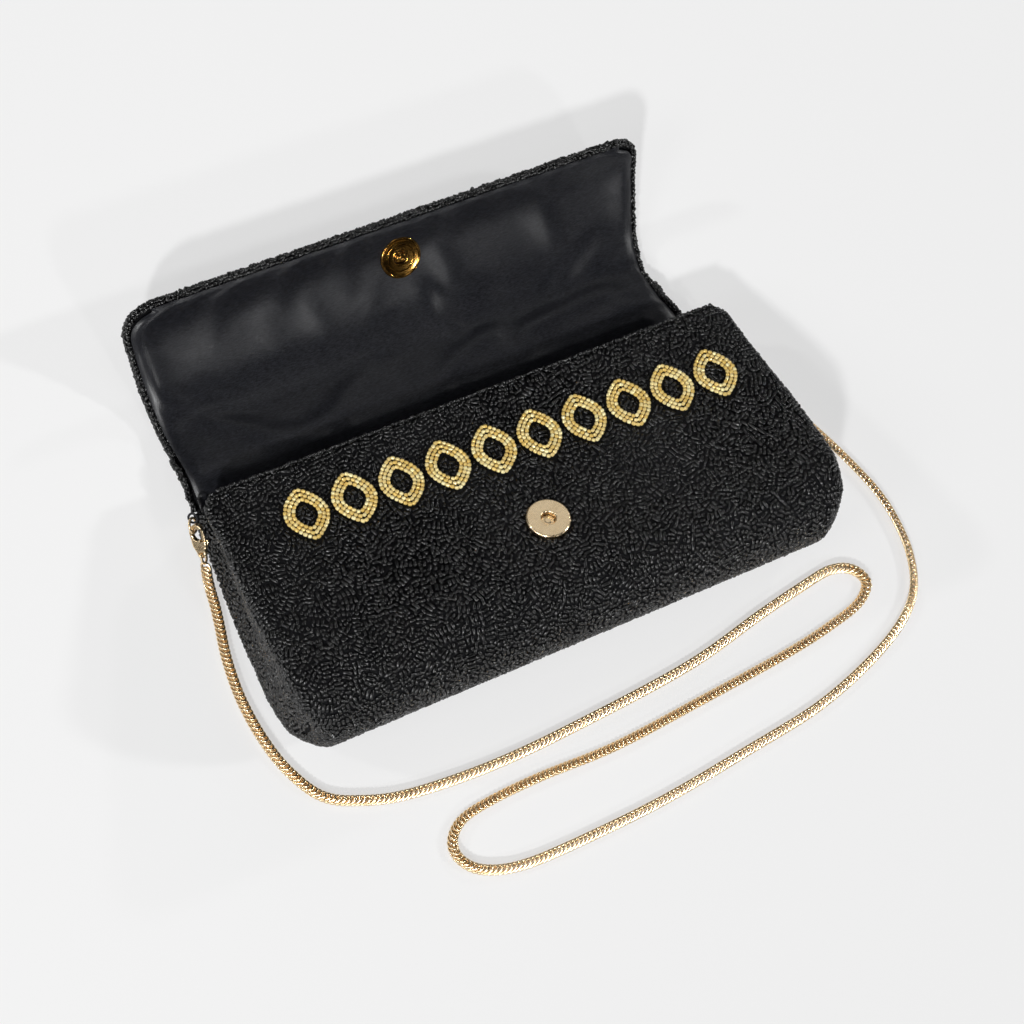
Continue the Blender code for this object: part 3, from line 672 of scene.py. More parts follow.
# All beads of one stretch of cloth, as one mesh.
def beadPiece(name, centre, along, normal, lengths, widths, finish, seed, sides=6, rounded=False):
    rng = np.random.RandomState(seed)
    template, quads, caps = beadTemplate(sides, rounded)
    count, size = len(centre), len(template)
    normal = unit(normal + rng.normal(0, beadSettings["tip"], normal.shape))
    along = unit(along + normal * rng.normal(0, beadSettings["nose"], (count, 1)))
    side = unit(np.cross(normal, along))
    up = np.cross(along, side)
    roll = rng.uniform(0, math.tau, count)[:, None]
    sideTurned = side * np.cos(roll) + up * np.sin(roll)
    upTurned = -side * np.sin(roll) + up * np.cos(roll)
    lengthwise = template[None, :, 0:1] * lengths[:, None, None]
    # The chamfer at a bead's ends is stretched with the bead's length.
    points = (
        centre[:, None]
        + along[:, None] * lengthwise
        + sideTurned[:, None] * template[None, :, 1:2] * widths[:, None, None]
        + upTurned[:, None] * template[None, :, 2:3] * widths[:, None, None]
    ).reshape(-1, 3)
    base = (np.arange(count) * size)[:, None, None]
    quadLoops = (quads[None] + base).reshape(-1)
    capLoops = (caps[None] + base).reshape(-1)
    loops = np.concatenate((quadLoops, capLoops)).astype(np.int32)
    quadCount, capCount = count * len(quads), count * 2
    capStarts = quadCount * 4 + np.arange(capCount) * sides
    starts = np.concatenate((np.arange(quadCount) * 4, capStarts)).astype(np.int32)
    mesh = bpy.data.meshes.new(name)
    mesh.vertices.add(len(points))
    mesh.vertices.foreach_set("co", points.astype(np.float32).ravel())
    mesh.loops.add(len(loops))
    mesh.loops.foreach_set("vertex_index", loops)
    mesh.polygons.add(len(starts))
    mesh.polygons.foreach_set("loop_start", starts)
    mesh.update(calc_edges=True)
    tone = mesh.attributes.new("beadTone", "FLOAT", "POINT")
    tone.data.foreach_set("value", np.repeat(rng.uniform(0, 1, count) ** 1.6, size).astype(np.float32))
    # Each bead has its own small square of the texture layout.
    grid = int(math.ceil(math.sqrt(count)))
    bead = loops // size
    corner = loops % size
    local = np.stack(((corner % sides) / sides, (corner // sides) / (size / sides)), axis=1) * 0.5 + 0.25
    layout = (np.stack((bead % grid, bead // grid), axis=1) + local) / grid
    layer = mesh.uv_layers.new(name="OFBake")
    layer.uv.foreach_set("vector", layout.astype(np.float32).ravel())
    return linkMesh(name, mesh, finish, smooth=rounded)


bodySettings = {
    "frontSlope": 72.46,  # the front's outward direction, in degrees from +Y
    "frontLength": 81.39 * mm,
    "backLength": 85.4 * mm,
    # half width and corner radius along the bag, from the end of the base to the mouth
    "along": (0 * mm, 12 * mm, 30 * mm, 60 * mm, 90 * mm, 111 * mm),
    "reachLeft": (119.0 * mm, 123.0 * mm, 124.2 * mm, 123.4 * mm, 121.2 * mm, 120.4 * mm),
    "reachRight": (119.5 * mm, 124.3 * mm, 125.6 * mm, 124.4 * mm, 122.4 * mm, 122.2 * mm),
    "corner": (9.0 * mm, 8.0 * mm, 6.5 * mm, 4.6 * mm, 3.2 * mm, 2.6 * mm),
    "pleat": (0.2 * mm, 0.3 * mm, 0.8 * mm, 2.2 * mm, 3.6 * mm, 4.2 * mm),
    "mouthCorner": 7.0 * mm,
    "clothDepth": 1.0 * mm,
    "clothThickness": 0.7 * mm,
    "liningDepth": 3.3 * mm,
    "liningReach": 114.8 * mm,
}
pivot = joints["mouth_hinge"]
baseRadius = pivot[2]
frontAngle = math.radians(bodySettings["frontSlope"])
baseArc = (1.5 * math.pi - frontAngle) * baseRadius
bodyLength = bodySettings["frontLength"] + baseArc + bodySettings["backLength"]
frontBodyEnd = bodySettings["frontLength"] + 22 * mm  # the stretch that the front's hinge bends


def alongBag(key, y):
    return np.interp(y + originAlong, bodySettings["along"], bodySettings[key])


# u runs from the mouth down the front, round the base and along the back.
def profileAt(u):
    u = np.asarray(u, float)
    front = bodySettings["frontLength"]
    angle = frontAngle + np.clip((u - front) / baseRadius, 0, baseArc / baseRadius)
    normal = np.stack((0 * angle, np.cos(angle), np.sin(angle)), axis=-1)
    down = np.stack((0 * angle, -np.sin(angle), np.cos(angle)), axis=-1)
    beyond = np.where(u < front, u - front, np.maximum(u - front - baseArc, 0))
    return pivot + normal * baseRadius + down * beyond[..., None], down, normal


# Half the front's width, with its two mouth corners rounded.
def reachAt(u, y, way):
    over = np.clip(bodySettings["mouthCorner"] - u, 0, bodySettings["mouthCorner"])
    drop = bodySettings["mouthCorner"] - np.sqrt(bodySettings["mouthCorner"] ** 2 - over**2)
    return np.where(way > 0, alongBag("reachRight", y), alongBag("reachLeft", y)) - drop


# How far the beaded surface runs across, from the middle round its corner to the gusset.
def bodyEdge(u, way):
    place = profileAt(u)[0]
    corner = alongBag("corner", place[..., 1])
    return reachAt(u, place[..., 1], way) + corner * (math.pi / 2 - 1)


# Place, downward direction, crosswise direction and normal. v runs across and round the corners.
def bodySurface(u, v, depth=0.0):
    place, down, normal = profileAt(u)
    corner = alongBag("corner", place[..., 1])
    way = np.sign(v)
    edge = reachAt(u, place[..., 1], way) - corner
    over = np.clip((np.abs(v) - edge) / corner, 0, math.pi / 2)
    flat = np.minimum(np.abs(v), edge)
    sine, cosine = np.sin(over)[..., None], np.cos(over)[..., None]
    side = way[..., None] * across
    place = place - normal * (corner * (1 - np.cos(over)))[..., None]
    place = place + side * (flat + corner * np.sin(over))[..., None]
    outward = normal * cosine + side * sine
    crosswise = across * cosine - way[..., None] * normal * sine
    return place - outward * np.asarray(depth)[..., None], down, crosswise, outward


# The filled front isn't quite flat.
def softSwell(u, v):
    broad = np.sin(u / (17 * mm) + 1.1) * np.sin(v / (29 * mm) + 0.4)
    return 0.35 * mm * (broad + 0.6 * np.sin(v / (13 * mm)))


snapSettings = {
    "socketDown": 66.0 * mm,
    "socketDepth": 1.8 * mm,
    "radius": 9.0 * mm,
    "studAlong": 72.5 * mm,
    "studLift": 1.2 * mm,
}

leafSettings = {
    "count": 10,
    "firstX": -85.6 * mm,
    "spacing": 20.5 * mm,
    "down": 24.4 * mm,
    "drop": 7.2 * mm,
    "length": 26.0 * mm,
    "width": 18.6 * mm,
    "stroke": 4.9 * mm,
    "lean": 84.0,
    "rows": (0.82 * mm, 2.45 * mm, 4.08 * mm),
    "beadLength": 1.9 * mm,
    "beadWidth": 1.66 * mm,
    "raise": 1.05 * mm,
}


def leafMiddle(k):
    share = k / (leafSettings["count"] - 1)
    down = leafSettings["down"] + leafSettings["drop"] * share
    return down, leafSettings["firstX"] + k * leafSettings["spacing"]


# Where a point of the front lies in one leaf's own directions: along it and across it.
def leafLocal(k, u, v):
    lean = math.radians(leafSettings["lean"])
    midU, midV = leafMiddle(k)
    run, rise = v - midV, midU - u
    return run * math.cos(lean) + rise * math.sin(lean), -run * math.sin(lean) + rise * math.cos(lean)


def leafPlace(k, along, off):
    lean = math.radians(leafSettings["lean"])
    midU, midV = leafMiddle(k)
    run = along * math.cos(lean) - off * math.sin(lean)
    rise = along * math.sin(lean) + off * math.cos(lean)
    return midU - rise, midV + run


# Half the width of a leaf outline, drawn in by inset.
def leafHalf(along, inset):
    scale = (leafSettings["width"] - 2 * inset) / leafSettings["width"]
    t = np.clip(along / (leafSettings["length"] * scale) + 0.5, 0, 1)
    return 0.5 * leafSettings["width"] * scale * np.sin(math.pi * t) ** 0.8


# True where the gold motif lies.
def motifCovers(u, v, margin):
    covered = np.zeros(u.shape, bool)
    for k in range(leafSettings["count"]):
        along, off = leafLocal(k, u, v)
        outer = np.abs(off) < leafHalf(along, -margin)
        inner = np.abs(off) < leafHalf(along, leafSettings["stroke"] + margin)
        covered |= outer & ~inner
    return covered


def buildBodyBeads(glass):
    cell = beadSettings["cell"]
    widest = float(bodyEdge(np.linspace(0, bodyLength, 200), 1).max())
    u = (np.arange(int(bodyLength / cell)) + 0.5) * cell
    v = (np.arange(int(2 * widest / cell)) + 0.5) * cell - widest
    free = (v[None, :] > -bodyEdge(u, -1)[:, None]) & (v[None, :] < bodyEdge(u, 1)[:, None])
    rows = u < bodySettings["frontLength"]
    uu, vv = np.meshgrid(u[rows], v, indexing="ij")
    free[rows] &= ~motifCovers(uu, vv, 0.25 * mm)
    snap = np.hypot(uu - snapSettings["socketDown"], vv) < snapSettings["radius"] + 0.1 * mm
    free[rows] &= ~snap
    sown = sowBeads(free, 11)
    bu, bv = (sown[:, 0] + 0.5) * cell, (sown[:, 1] + 0.5) * cell - widest
    heading, lengths = sown[:, 2], sown[:, 3]
    rng = np.random.RandomState(5)
    widths = beadSettings["width"] * rng.uniform(0.86, 1.06, len(bu))
    onFront = bu < bodySettings["frontLength"] - 5 * mm
    depth = widths / 2 + rng.uniform(0, 0.25, len(bu)) * mm - softSwell(bu, bv) * onFront
    place, down, crosswise, outward = bodySurface(bu, bv, depth)
    along = down * np.cos(heading)[:, None] + crosswise * np.sin(heading)[:, None]
    isFront = bu < frontBodyEnd
    made = []
    for name, keep in (("frontBeads", isFront), ("backBeads", ~isFront)):
        made.append(
            beadPiece(name, place[keep], along[keep], outward[keep], lengths[keep], widths[keep], glass, 21)
        )
    print("body beads:", len(bu))
    return made


def buildBodyCloth(cloth):
    depth, thickness = bodySettings["clothDepth"], bodySettings["clothThickness"]
    made = []
    for name, start, end in (("frontCloth", 0.2 * mm, frontBodyEnd), ("backCloth", frontBodyEnd, bodyLength)):
        u = np.linspace(start, end, int((end - start) / (1.2 * mm)))
        v = np.linspace(-1, 1, 241)
        uu, vv = np.meshgrid(u, v, indexing="ij")
        vv = vv * bodyEdge(uu, vv)
        # The cloth dips under the snap's cap, which sits on its washer.
        fromSnap = np.hypot(uu - snapSettings["socketDown"], vv)
        dip = smoothStep((snapSettings["radius"] + 1.6 * mm - fromSnap) / (1.4 * mm))
        top = depth + 0.92 * mm * dip
        made.append(
            thickSheet(name, bodySurface(uu, vv, top)[0],
                       bodySurface(uu, vv, top + thickness - 0.55 * mm * dip)[0], cloth)
        )
    return made


# Soft creases in the lining, deeper away from its edges.
def liningCrease(u, v):
    crease = 0.5 * np.sin(v / (9.5 * mm) + 2.0 * np.sin(u / (22 * mm)))
    crease = crease + 0.35 * np.sin(u / (11 * mm) + v / (31 * mm))
    edge = smoothStep(u / (14 * mm)) * smoothStep((bodyLength - u) / (14 * mm))
    return 0.8 * mm * crease * edge * smoothStep((bodySettings["liningReach"] - np.abs(v)) / (12 * mm))


def buildPocketLining(satin):
    made = []
    for name, start, end in (
        ("frontLining", 0.1 * mm, frontBodyEnd),
        ("backLining", frontBodyEnd, bodyLength - 3 * mm),
    ):
        u = np.concatenate((np.linspace(start, start + 4 * mm, 9)[:-1],
                            np.linspace(start + 4 * mm, end, int((end - start) / (1.6 * mm)))))
        uu, vv = np.meshgrid(u, np.linspace(-1, 1, 161), indexing="ij")
        limit = reachAt(uu, profileAt(uu)[0][..., 1], vv) - 2.2 * mm
        vv = vv * np.minimum(bodySettings["liningReach"], limit)
        turnIn = (1 - smoothStep(uu / (3.0 * mm))) * (bodySettings["liningDepth"] - 1.7 * mm)
        depth = bodySettings["liningDepth"] - turnIn + liningCrease(uu, vv) + 0.55 * mm
        place, _, normal = profileAt(uu)
        top = place + across * vv[..., None]
        seen = top - normal * (depth - 0.3 * mm)[..., None]
        hidden = top - normal * depth[..., None]
        made.append(thickSheet(name, seen, hidden, satin))
    return made


rimSettings = {
    # rows are (outward shift, inward depth) of each row of beads along an edge
    "mouth": {
        "rows": ((0.1 * mm, 0.0), (0.0 * mm, 1.2 * mm)),
        "lengths": (1.5, 1.7, 2.1, 2.6),
        "start": 0.0,
        "stop": 0.0,
        "wander": 0.12,
        "lean": 0.22,
        "share": 1.0,
        "gap": 0.12 * mm,
        "thinnest": 0.85,
    },
    "flap": {
        "rows": (
            (-0.45 * mm, 0.35 * mm), (0.1 * mm, 1.45 * mm), (-0.2 * mm, 2.6 * mm), (-1.3 * mm, 0.9 * mm),
        ),
        "lengths": (1.5, 1.7, 2.1, 2.7),
        "start": 0.3 * mm,
        "stop": 0.8 * mm,
        "wander": 0.15,
        "lean": 0.3,
        "share": 0.96,
        "gap": 0.1 * mm,
        "thinnest": 0.8,
    },
}


# Beads in rows along an edge.
def buildRim(name, place, along, outward, inward, glass, seed, kind):
    rim = rimSettings[kind]
    rng = np.random.RandomState(seed)
    run = runAlong(place)
    found = []
    for shift, depth in rim["rows"]:
        at = rim["start"]
        while at < run[-1] - rim["stop"]:
            length = rng.choice(rim["lengths"]) * mm
            mid = min(at + length / 2, run[-1])
            spot, tangent, off, inn = (
                np.array([np.interp(mid, run, table[:, k]) for k in range(3)])
                for table in (place, along, outward, inward)
            )
            spot = spot + off * (shift + rng.normal(0, rim["wander"]) * mm)
            spot = spot + inn * (depth + rng.normal(0, rim["wander"]) * mm)
            tangent = tangent + off * rng.normal(0, rim["lean"]) + inn * rng.normal(0, rim["lean"])
            found.append((spot, tangent, off, length))
            at += length * rim["share"] + rim["gap"]
    spots, tangents, offs, lengths = (np.array(table) for table in zip(*found))
    widths = beadSettings["width"] * rng.uniform(rim["thinnest"], 1.0, len(spots))
    return beadPiece(name, spots, unit(tangents), offs, lengths, widths, glass, seed)


# The bead rows round the front's upper edge.
def buildMouthEdge(glass):
    v = np.linspace(-1, 1, 300)
    u = np.zeros_like(v) + 0.2 * mm
    vv = v * bodyEdge(u, v)
    place, down, crosswise, _ = bodySurface(u, vv, 0.9 * mm + 0 * vv)
    inward = unit(np.cross(crosswise, -down))
    return buildRim("mouthEdgeBeads", place, crosswise, -down, inward, glass, 31, "mouth")


# The ends of the beaded surface at one side: the front's and the back's, from the base to the
# mouth.
def gussetOutline(sign):
    u = np.linspace(0, bodyLength, 700)
    place = bodySurface(u, sign * bodyEdge(u, sign), 0.2 * mm + 0 * u)[0]
    place[:, 0] = np.abs(place[:, 0])
    turn = int(np.argmin(place[:, 1]))
    return place[:turn][::-1], place[turn:]


def gussetSurface(y, z, outline):
    top, bottom = outline
    high = np.interp(y, top[:, 1], top[:, 2])
    low = np.interp(y, bottom[:, 1], bottom[:, 2])
    share = np.clip((z - low) / np.maximum(high - low, 1e-6), 0, 1)
    fold = 1 - np.sqrt((2 * share - 1) ** 2 + 0.015)
    edge = np.interp(y, bottom[:, 1], bottom[:, 0]) * (1 - share) + np.interp(y, top[:, 1], top[:, 0]) * share
    return edge - alongBag("pleat", y) * np.maximum(fold, 0), low, high


def buildGusset(side, sign, materials, outline):
    top, bottom = outline
    low, high = float(top[0, 1]) + 0.1 * mm, float(min(top[-1, 1], bottom[-1, 1])) - 1.2 * mm
    bend = np.linspace(0, 1, 70)
    y = low + (high - low) * bend**1.35
    share = np.linspace(0, 1, 41)
    yy, ss = np.meshgrid(y, share, indexing="ij")
    _, lowZ, highZ = gussetSurface(yy, 0 * yy, outline)
    zz = lowZ + (highZ - lowZ) * ss
    x = gussetSurface(yy, zz, outline)[0]
    outer = np.stack((sign * (x - 0.7 * mm), yy, zz), axis=-1)
    inner = np.stack((sign * (x - 1.5 * mm), yy, zz), axis=-1)
    if sign > 0:
        cloth = thickSheet(f"gussetCloth_{side}", outer, inner, materials["groundCloth"], materials["satin"])
    else:
        cloth = thickSheet(f"gussetCloth_{side}", inner, outer, materials["satin"], materials["groundCloth"])
    cell = beadSettings["cell"]
    gy = low + (np.arange(int((high - low) / cell)) + 0.5) * cell
    gz = (np.arange(int(50.4 * mm / cell)) + 0.5) * cell
    yGrid, zGrid = np.meshgrid(gy, gz, indexing="ij")
    _, lowZ, highZ = gussetSurface(yGrid, zGrid, outline)
    sown = sowBeads((zGrid > lowZ - 0.6 * mm) & (zGrid < highZ + 0.6 * mm), 41 + int(sign))
    by, bz = low + (sown[:, 0] + 0.5) * cell, (sown[:, 1] + 0.5) * cell
    step = 0.3 * mm
    x0 = gussetSurface(by, bz, outline)[0]
    slopeY = (gussetSurface(by + step, bz, outline)[0] - x0) / step
    slopeZ = (gussetSurface(by, bz + step, outline)[0] - x0) / step
    alongY = unit(np.stack((sign * slopeY, 1 + 0 * by, 0 * by), axis=1))
    alongZ = unit(np.stack((sign * slopeZ, 0 * by, 1 + 0 * by), axis=1))
    normal = unit(np.stack((sign + 0 * by, -slopeY, -slopeZ), axis=1))
    along = alongY * np.cos(sown[:, 2])[:, None] + alongZ * np.sin(sown[:, 2])[:, None]
    rng = np.random.RandomState(51)
    widths = beadSettings["width"] * rng.uniform(0.86, 1.04, len(by))
    place = np.stack((sign * x0, by, bz), axis=1) - normal * (widths / 2 - 0.2 * mm)[:, None]
    glass = materials["blackBeads"]
    beads = beadPiece(f"gussetBeads_{side}", place, along, normal, sown[:, 3], widths, glass, 61)
    return cloth, beads


flapSettings = {
    # side view of the satin at rest, from the back lining through the hinge to the free edge
    "lead": ((104.0, 3.45), (108.4, 3.3)),
    "curve": (
        (111.4, 3.6), (117.4, 7.0), (124.5, 8.8), (133.5, 6.8), (143.0, 4.5),
        (152.0, 5.6), (163.0, 10.4), (176.2, 20.6), (183.6, 29.4), (188.6, 39.2),
    ),
    # outline: distance from the hinge, and how far the flap reaches to each side
    "at": (0 * mm, 15 * mm, 30 * mm, 45 * mm, 60 * mm, 80 * mm, 94 * mm),
    "left": (118.2 * mm, 118.6 * mm, 119.0 * mm, 119.6 * mm, 120.4 * mm, 121.2 * mm, 121.5 * mm),
    "right": (112.5 * mm, 106.0 * mm, 105.4 * mm, 108.4 * mm, 112.0 * mm, 115.2 * mm, 115.0 * mm),
    "leftCorner": 13.0 * mm,
    "rightCorner": 9.0 * mm,
    "turnIn": 2.3 * mm,
    "short": 3.2 * mm,  # the beaded cloth ends this much before the drawn curve
    "splits": (-6.0 * mm, 4.5 * mm, 24.0 * mm),
}
flapLine = smoothCurve(
    [(0, y * mm - originAlong, z * mm) for y, z in flapSettings["lead"] + flapSettings["curve"]], 900
)
flapRun = runAlong(flapLine)
hingeIndex = int(np.argmin(np.linalg.norm(flapLine[:, 1:] - joints["flap_hinge"][1:], axis=1)))
flapRun = flapRun - flapRun[hingeIndex]
flapLength = float(flapRun[-1]) - flapSettings["short"]
flapTangents = unit(np.gradient(flapLine, axis=0))


# Place, direction and satin-side normal at distance s from the hinge.
def flapAt(s, depth=0.0):
    s = np.asarray(s, float)
    place = np.stack([np.interp(s, flapRun, flapLine[:, k]) for k in range(3)], axis=-1)
    along = unit(np.stack([np.interp(s, flapRun, flapTangents[:, k]) for k in range(3)], axis=-1))
    beyond = np.maximum(s - flapRun[-1], 0) + np.minimum(s - flapRun[0], 0)
    place = place + along * beyond[..., None]
    normal = np.stack((0 * s, -along[..., 2], along[..., 1]), axis=-1)
    return place - normal * np.asarray(depth)[..., None], along, normal


# How far the flap reaches to one side, with its free corners rounded.
def flapReach(s, side, inset=0.0):
    corner = flapSettings[side + "Corner"]
    over = np.clip(corner - (flapLength - inset - s), 0, corner - inset)
    inner = corner - inset
    drop = inner - np.sqrt(np.maximum(inner**2 - over**2, 0))
    return np.interp(s, flapSettings["at"], flapSettings[side]) - inset - np.where(over > 0, drop, 0)


def flapGrid(start, end, inset, depth, rows, columns, lift=None):
    s = np.linspace(start, end, rows)
    t = np.linspace(0, 1, columns)
    ss, tt = np.meshgrid(s, t, indexing="ij")
    left, right = -flapReach(ss, "left", inset), flapReach(ss, "right", inset)
    x = left + (right - left) * tt
    deep = depth + 0 * ss
    if lift is not None:
        deep = deep - lift(ss, x, left, right)
    place = flapAt(ss, deep)[0]
    return place + across * x[..., None]


foldSettings = (
    # across, from the hinge, direction in degrees, length, width and height, all in millimetres
    (17, 32, 13, 34, 9.0, -3.0), (24, 47, 16, 40, 11.0, 1.5), (48, 22, 6, 18, 5.0, 2.4),
    (-38, 30, 24, 36, 13.0, 1.3), (-62, 44, 14, 46, 14.0, -1.0), (74, 34, 38, 30, 7.0, -1.3),
    (-14, 16, 8, 46, 6.0, -1.4), (86, 20, -24, 22, 5.0, 1.2), (-92, 20, -30, 26, 8.0, -1.0),
)


# Relaxed folds of the loose satin, calm near its sewn edges and under the snap.
def satinFolds(s, x, left, right):
    sm, xm = s / mm, x / mm
    folds = 0 * sm
    for x0, s0, direction, length, width, depth in foldSettings:
        turn = math.radians(direction)
        run = (xm - x0) * math.cos(turn) + (sm - s0) * math.sin(turn)
        off = -(xm - x0) * math.sin(turn) + (sm - s0) * math.cos(turn)
        folds = folds + depth * np.exp(-((off / width) ** 2) - (run / length) ** 2)
    calm = smoothStep((x - left) / (16 * mm)) * smoothStep((right - x) / (16 * mm))
    calm = calm * smoothStep((flapLength - s) / (22 * mm)) * smoothStep((s + 2 * mm) / (12 * mm))
    snap = smoothStep((np.hypot(x, s - snapSettings["studAlong"]) - 9 * mm) / (14 * mm))
    return folds * mm * calm * snap


clothSettings = {
    "rows": 58,
    "columns": 121,
    "enlarge": 10.0,  # the simulation runs on an enlarged copy, where its distances suit it
    "extra": 0.02,  # how much more cloth there is than the flap needs
    "frames": 26,
    "rest": 0.25 * mm,  # the cloth lies no lower than this under the drawn curve
    "most": 5.5 * mm,
    "sewnRound": 10.5 * mm,  # it is held round the stud within this radius
    "steps": 6,
    "mass": 0.25,
    "stretch": 12,
    "shear": 4,
    "bend": 9.0,
    "bedRows": 50,
    "bedColumns": 61,
    "presses": 14,  # how often the fallen cloth is smoothed
}
looseCloth = {}


# Where the cloth starts, before it falls.
def startingLift(s, x, left, right):
    return 0.5 * mm + satinFolds(s, x, left, right)


# The facing is cut a little large and sewn down at its edges, so it falls into soft folds.
def simulateSatin(satin):
    size, turnIn = clothSettings["enlarge"], flapSettings["turnIn"]
    rows, columns = clothSettings["rows"], clothSettings["columns"]
    bedRows, bedColumns = clothSettings["bedRows"], clothSettings["bedColumns"]
    start, end = 1.0 * mm, flapLength - turnIn
    points = flapGrid(start, end, turnIn, 0.0, rows, columns, startingLift) * size
    cloth = fromFaces("looseSatin", points, gridFaces(rows, columns), satin)
    bedPoints = flapGrid(start - 2 * mm, end, turnIn - 2 * mm, 0.1 * mm, bedRows, bedColumns) * size
    under = fromFaces("looseSatinBed", bedPoints, gridFaces(bedRows, bedColumns), satin)
    under.modifiers.new("bed", "COLLISION")
    under.collision.thickness_outer = 0.002
    under.collision.cloth_friction = 6.0
    s = np.linspace(start, end, rows)
    t = np.linspace(0, 1, columns)
    ss, tt = np.meshgrid(s, t, indexing="ij")
    left, right = -flapReach(ss, "left", turnIn), flapReach(ss, "right", turnIn)
    x = left + (right - left) * tt
    held = np.hypot(x, ss - snapSettings["studAlong"]) < clothSettings["sewnRound"]
    held[0] = held[-1] = True
    held[:, 0] = held[:, -1] = True
    group = cloth.vertex_groups.new(name="sewn")
    group.add([int(k) for k in np.flatnonzero(held.ravel())], 1.0, "REPLACE")
    modifier = cloth.modifiers.new("fall", "CLOTH")
    settings = modifier.settings
    settings.quality = clothSettings["steps"]
    settings.mass = clothSettings["mass"]
    settings.tension_stiffness = settings.compression_stiffness = clothSettings["stretch"]
    settings.shear_stiffness = clothSettings["shear"]
    settings.bending_stiffness = clothSettings["bend"]
    settings.shrink_min = -clothSettings["extra"]
    settings.vertex_group_mass = "sewn"
    modifier.collision_settings.distance_min = 0.003
    modifier.collision_settings.use_self_collision = False
    scene = bpy.context.scene
    modifier.point_cache.frame_end = clothSettings["frames"]
    for number in range(1, clothSettings["frames"] + 1):
        scene.frame_set(number)
    graph = bpy.context.evaluated_depsgraph_get()
    result = cloth.evaluated_get(graph).to_mesh()
    moved = np.empty(rows * columns * 3, np.float32)
    result.vertices.foreach_get("co", moved)
    moved = moved.reshape(rows, columns, 3) / size
    base, _, normal = flapAt(ss, 0.0)
    base = base + across * x[..., None]
    lift = ((moved - base) * normal).sum(axis=-1)
    lift = np.clip(lift, -clothSettings["rest"], clothSettings["most"])
    for press in range(clothSettings["presses"]):
        around = lift[:-2, 1:-1] + lift[2:, 1:-1] + lift[1:-1, :-2] + lift[1:-1, 2:]
        soft = lift.copy()
        soft[1:-1, 1:-1] = around / 8 + lift[1:-1, 1:-1] / 2
        lift = soft
    scene.frame_set(1)
    for piece in (cloth, under):
        bpy.data.objects.remove(piece, do_unlink=True)
    looseCloth.update(s=s, lift=lift)
    print("satin simulated, highest fold", round(float(lift.max()) / mm, 2), "mm")


# The simulated folds, read at any place on the flap.
def looseLift(s, x, left, right):
    if not looseCloth:
        return np.maximum(satinFolds(s, x, left, right), -0.2 * mm)
    lift = looseCloth["lift"]
    i = np.clip(np.interp(s, looseCloth["s"], np.arange(len(lift))), 0, len(lift) - 1.001)
    j = np.clip((x - left) / (right - left), 0, 1) * (lift.shape[1] - 1.001)
    i0, j0 = i.astype(int), j.astype(int)
    fi, fj = smoothStep(i - i0), smoothStep(j - j0)
    fi, fj = 0.5 * (fi + i - i0), 0.5 * (fj + j - j0)
    high = lift[i0, j0] * (1 - fj) + lift[i0, j0 + 1] * fj
    low = lift[i0 + 1, j0] * (1 - fj) + lift[i0 + 1, j0 + 1] * fj
    return (high * (1 - fi) + low * fi) * smoothStep((s + 1 * mm) / (6 * mm))


def satinLift(s, x, left, right):
    edge = np.minimum(np.minimum(x - left, right - x), flapLength - flapSettings["turnIn"] - s)
    tucked = -0.55 * mm * (1 - smoothStep(edge / (1.3 * mm)))
    pillow = 0.45 * mm * smoothStep(edge / (5 * mm))
    pucker = 0.10 * mm * np.sin(x / (1.9 * mm) + 3 * np.sin(s / (7 * mm)))
    pucker = pucker * np.exp(-((edge / (3.0 * mm)) ** 2))
    return tucked + pillow + pucker + looseLift(s, x, left, right)


# Gives a stretch of satin the normals of the whole sheet, so that no line shows where two meet.
def keepNormals(piece, start, end, grid, first, last):
    normals = unit(np.cross(np.gradient(grid, axis=1), np.gradient(grid, axis=0)))
    wanted = normals[first:last].reshape(-1, 3)
    up = flapAt(0.5 * (start + end))[2]
    if (wanted @ up).mean() < 0:
        wanted = -wanted
    count = len(wanted)
    vectors = [Vector(n) for n in wanted] + [Vector(-n) for n in wanted]
    if len(piece.data.vertices) == 2 * count:
        piece.data.normals_split_custom_set_from_vertices(vectors)


def bendFlap(piece):
    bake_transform(piece)


def flapStretches():
    splits = flapSettings["splits"] + (flapLength,)
    return [(k, name, splits[k], splits[k + 1]) for k, name in enumerate(("bridge", "upper", "lower"))]


def buildFlap(materials):
    made = {}
    turnIn = flapSettings["turnIn"]
    for _, name, start, end in flapStretches():
        last = name == "lower"
        rows = max(6, int((end - start) / (0.9 * mm)))
        stop = end - turnIn if last else end
        top = flapGrid(start, stop, turnIn, 0.0, rows, 241, satinLift)
        under = flapGrid(start, stop, turnIn, 0.45 * mm, rows, 241, satinLift)
        satin = thickSheet(f"flapSatin_{name}", top, under, materials["satin"])
        # Three more rows past each end that meets another stretch give the normals there.
        step = (stop - start) / (rows - 1)
        before = 3 if name != "bridge" else 0
        after = 0 if last else 3
        first, final, count = start - before * step, stop + after * step, rows + before + after
        wide = flapGrid(first, final, turnIn, 0.0, count, 241, satinLift)
        keepNormals(satin, start, stop, wide, before, before + rows)
        stop = end - 0.9 * mm if last else end
        rows = max(6, int((end - start) / (2 * mm)))
        cloth = thickSheet(
            f"flapCloth_{name}", flapGrid(start, stop, 0.9 * mm, 1.7 * mm, rows, 61),
            flapGrid(start, stop, 0.9 * mm, 2.4 * mm, rows, 61), materials["groundCloth"],
        )
        made[name] = [satin, cloth]
        if name != "bridge":
            stop = end - 6 * mm if last else end
            stay = thickSheet(
                f"flapStay_{name}", flapGrid(start, stop, 6 * mm, 0.9 * mm, rows, 41),
                flapGrid(start, stop, 6 * mm, 1.5 * mm, rows, 41), materials["board"],
            )
            made[name].append(stay)
    return made


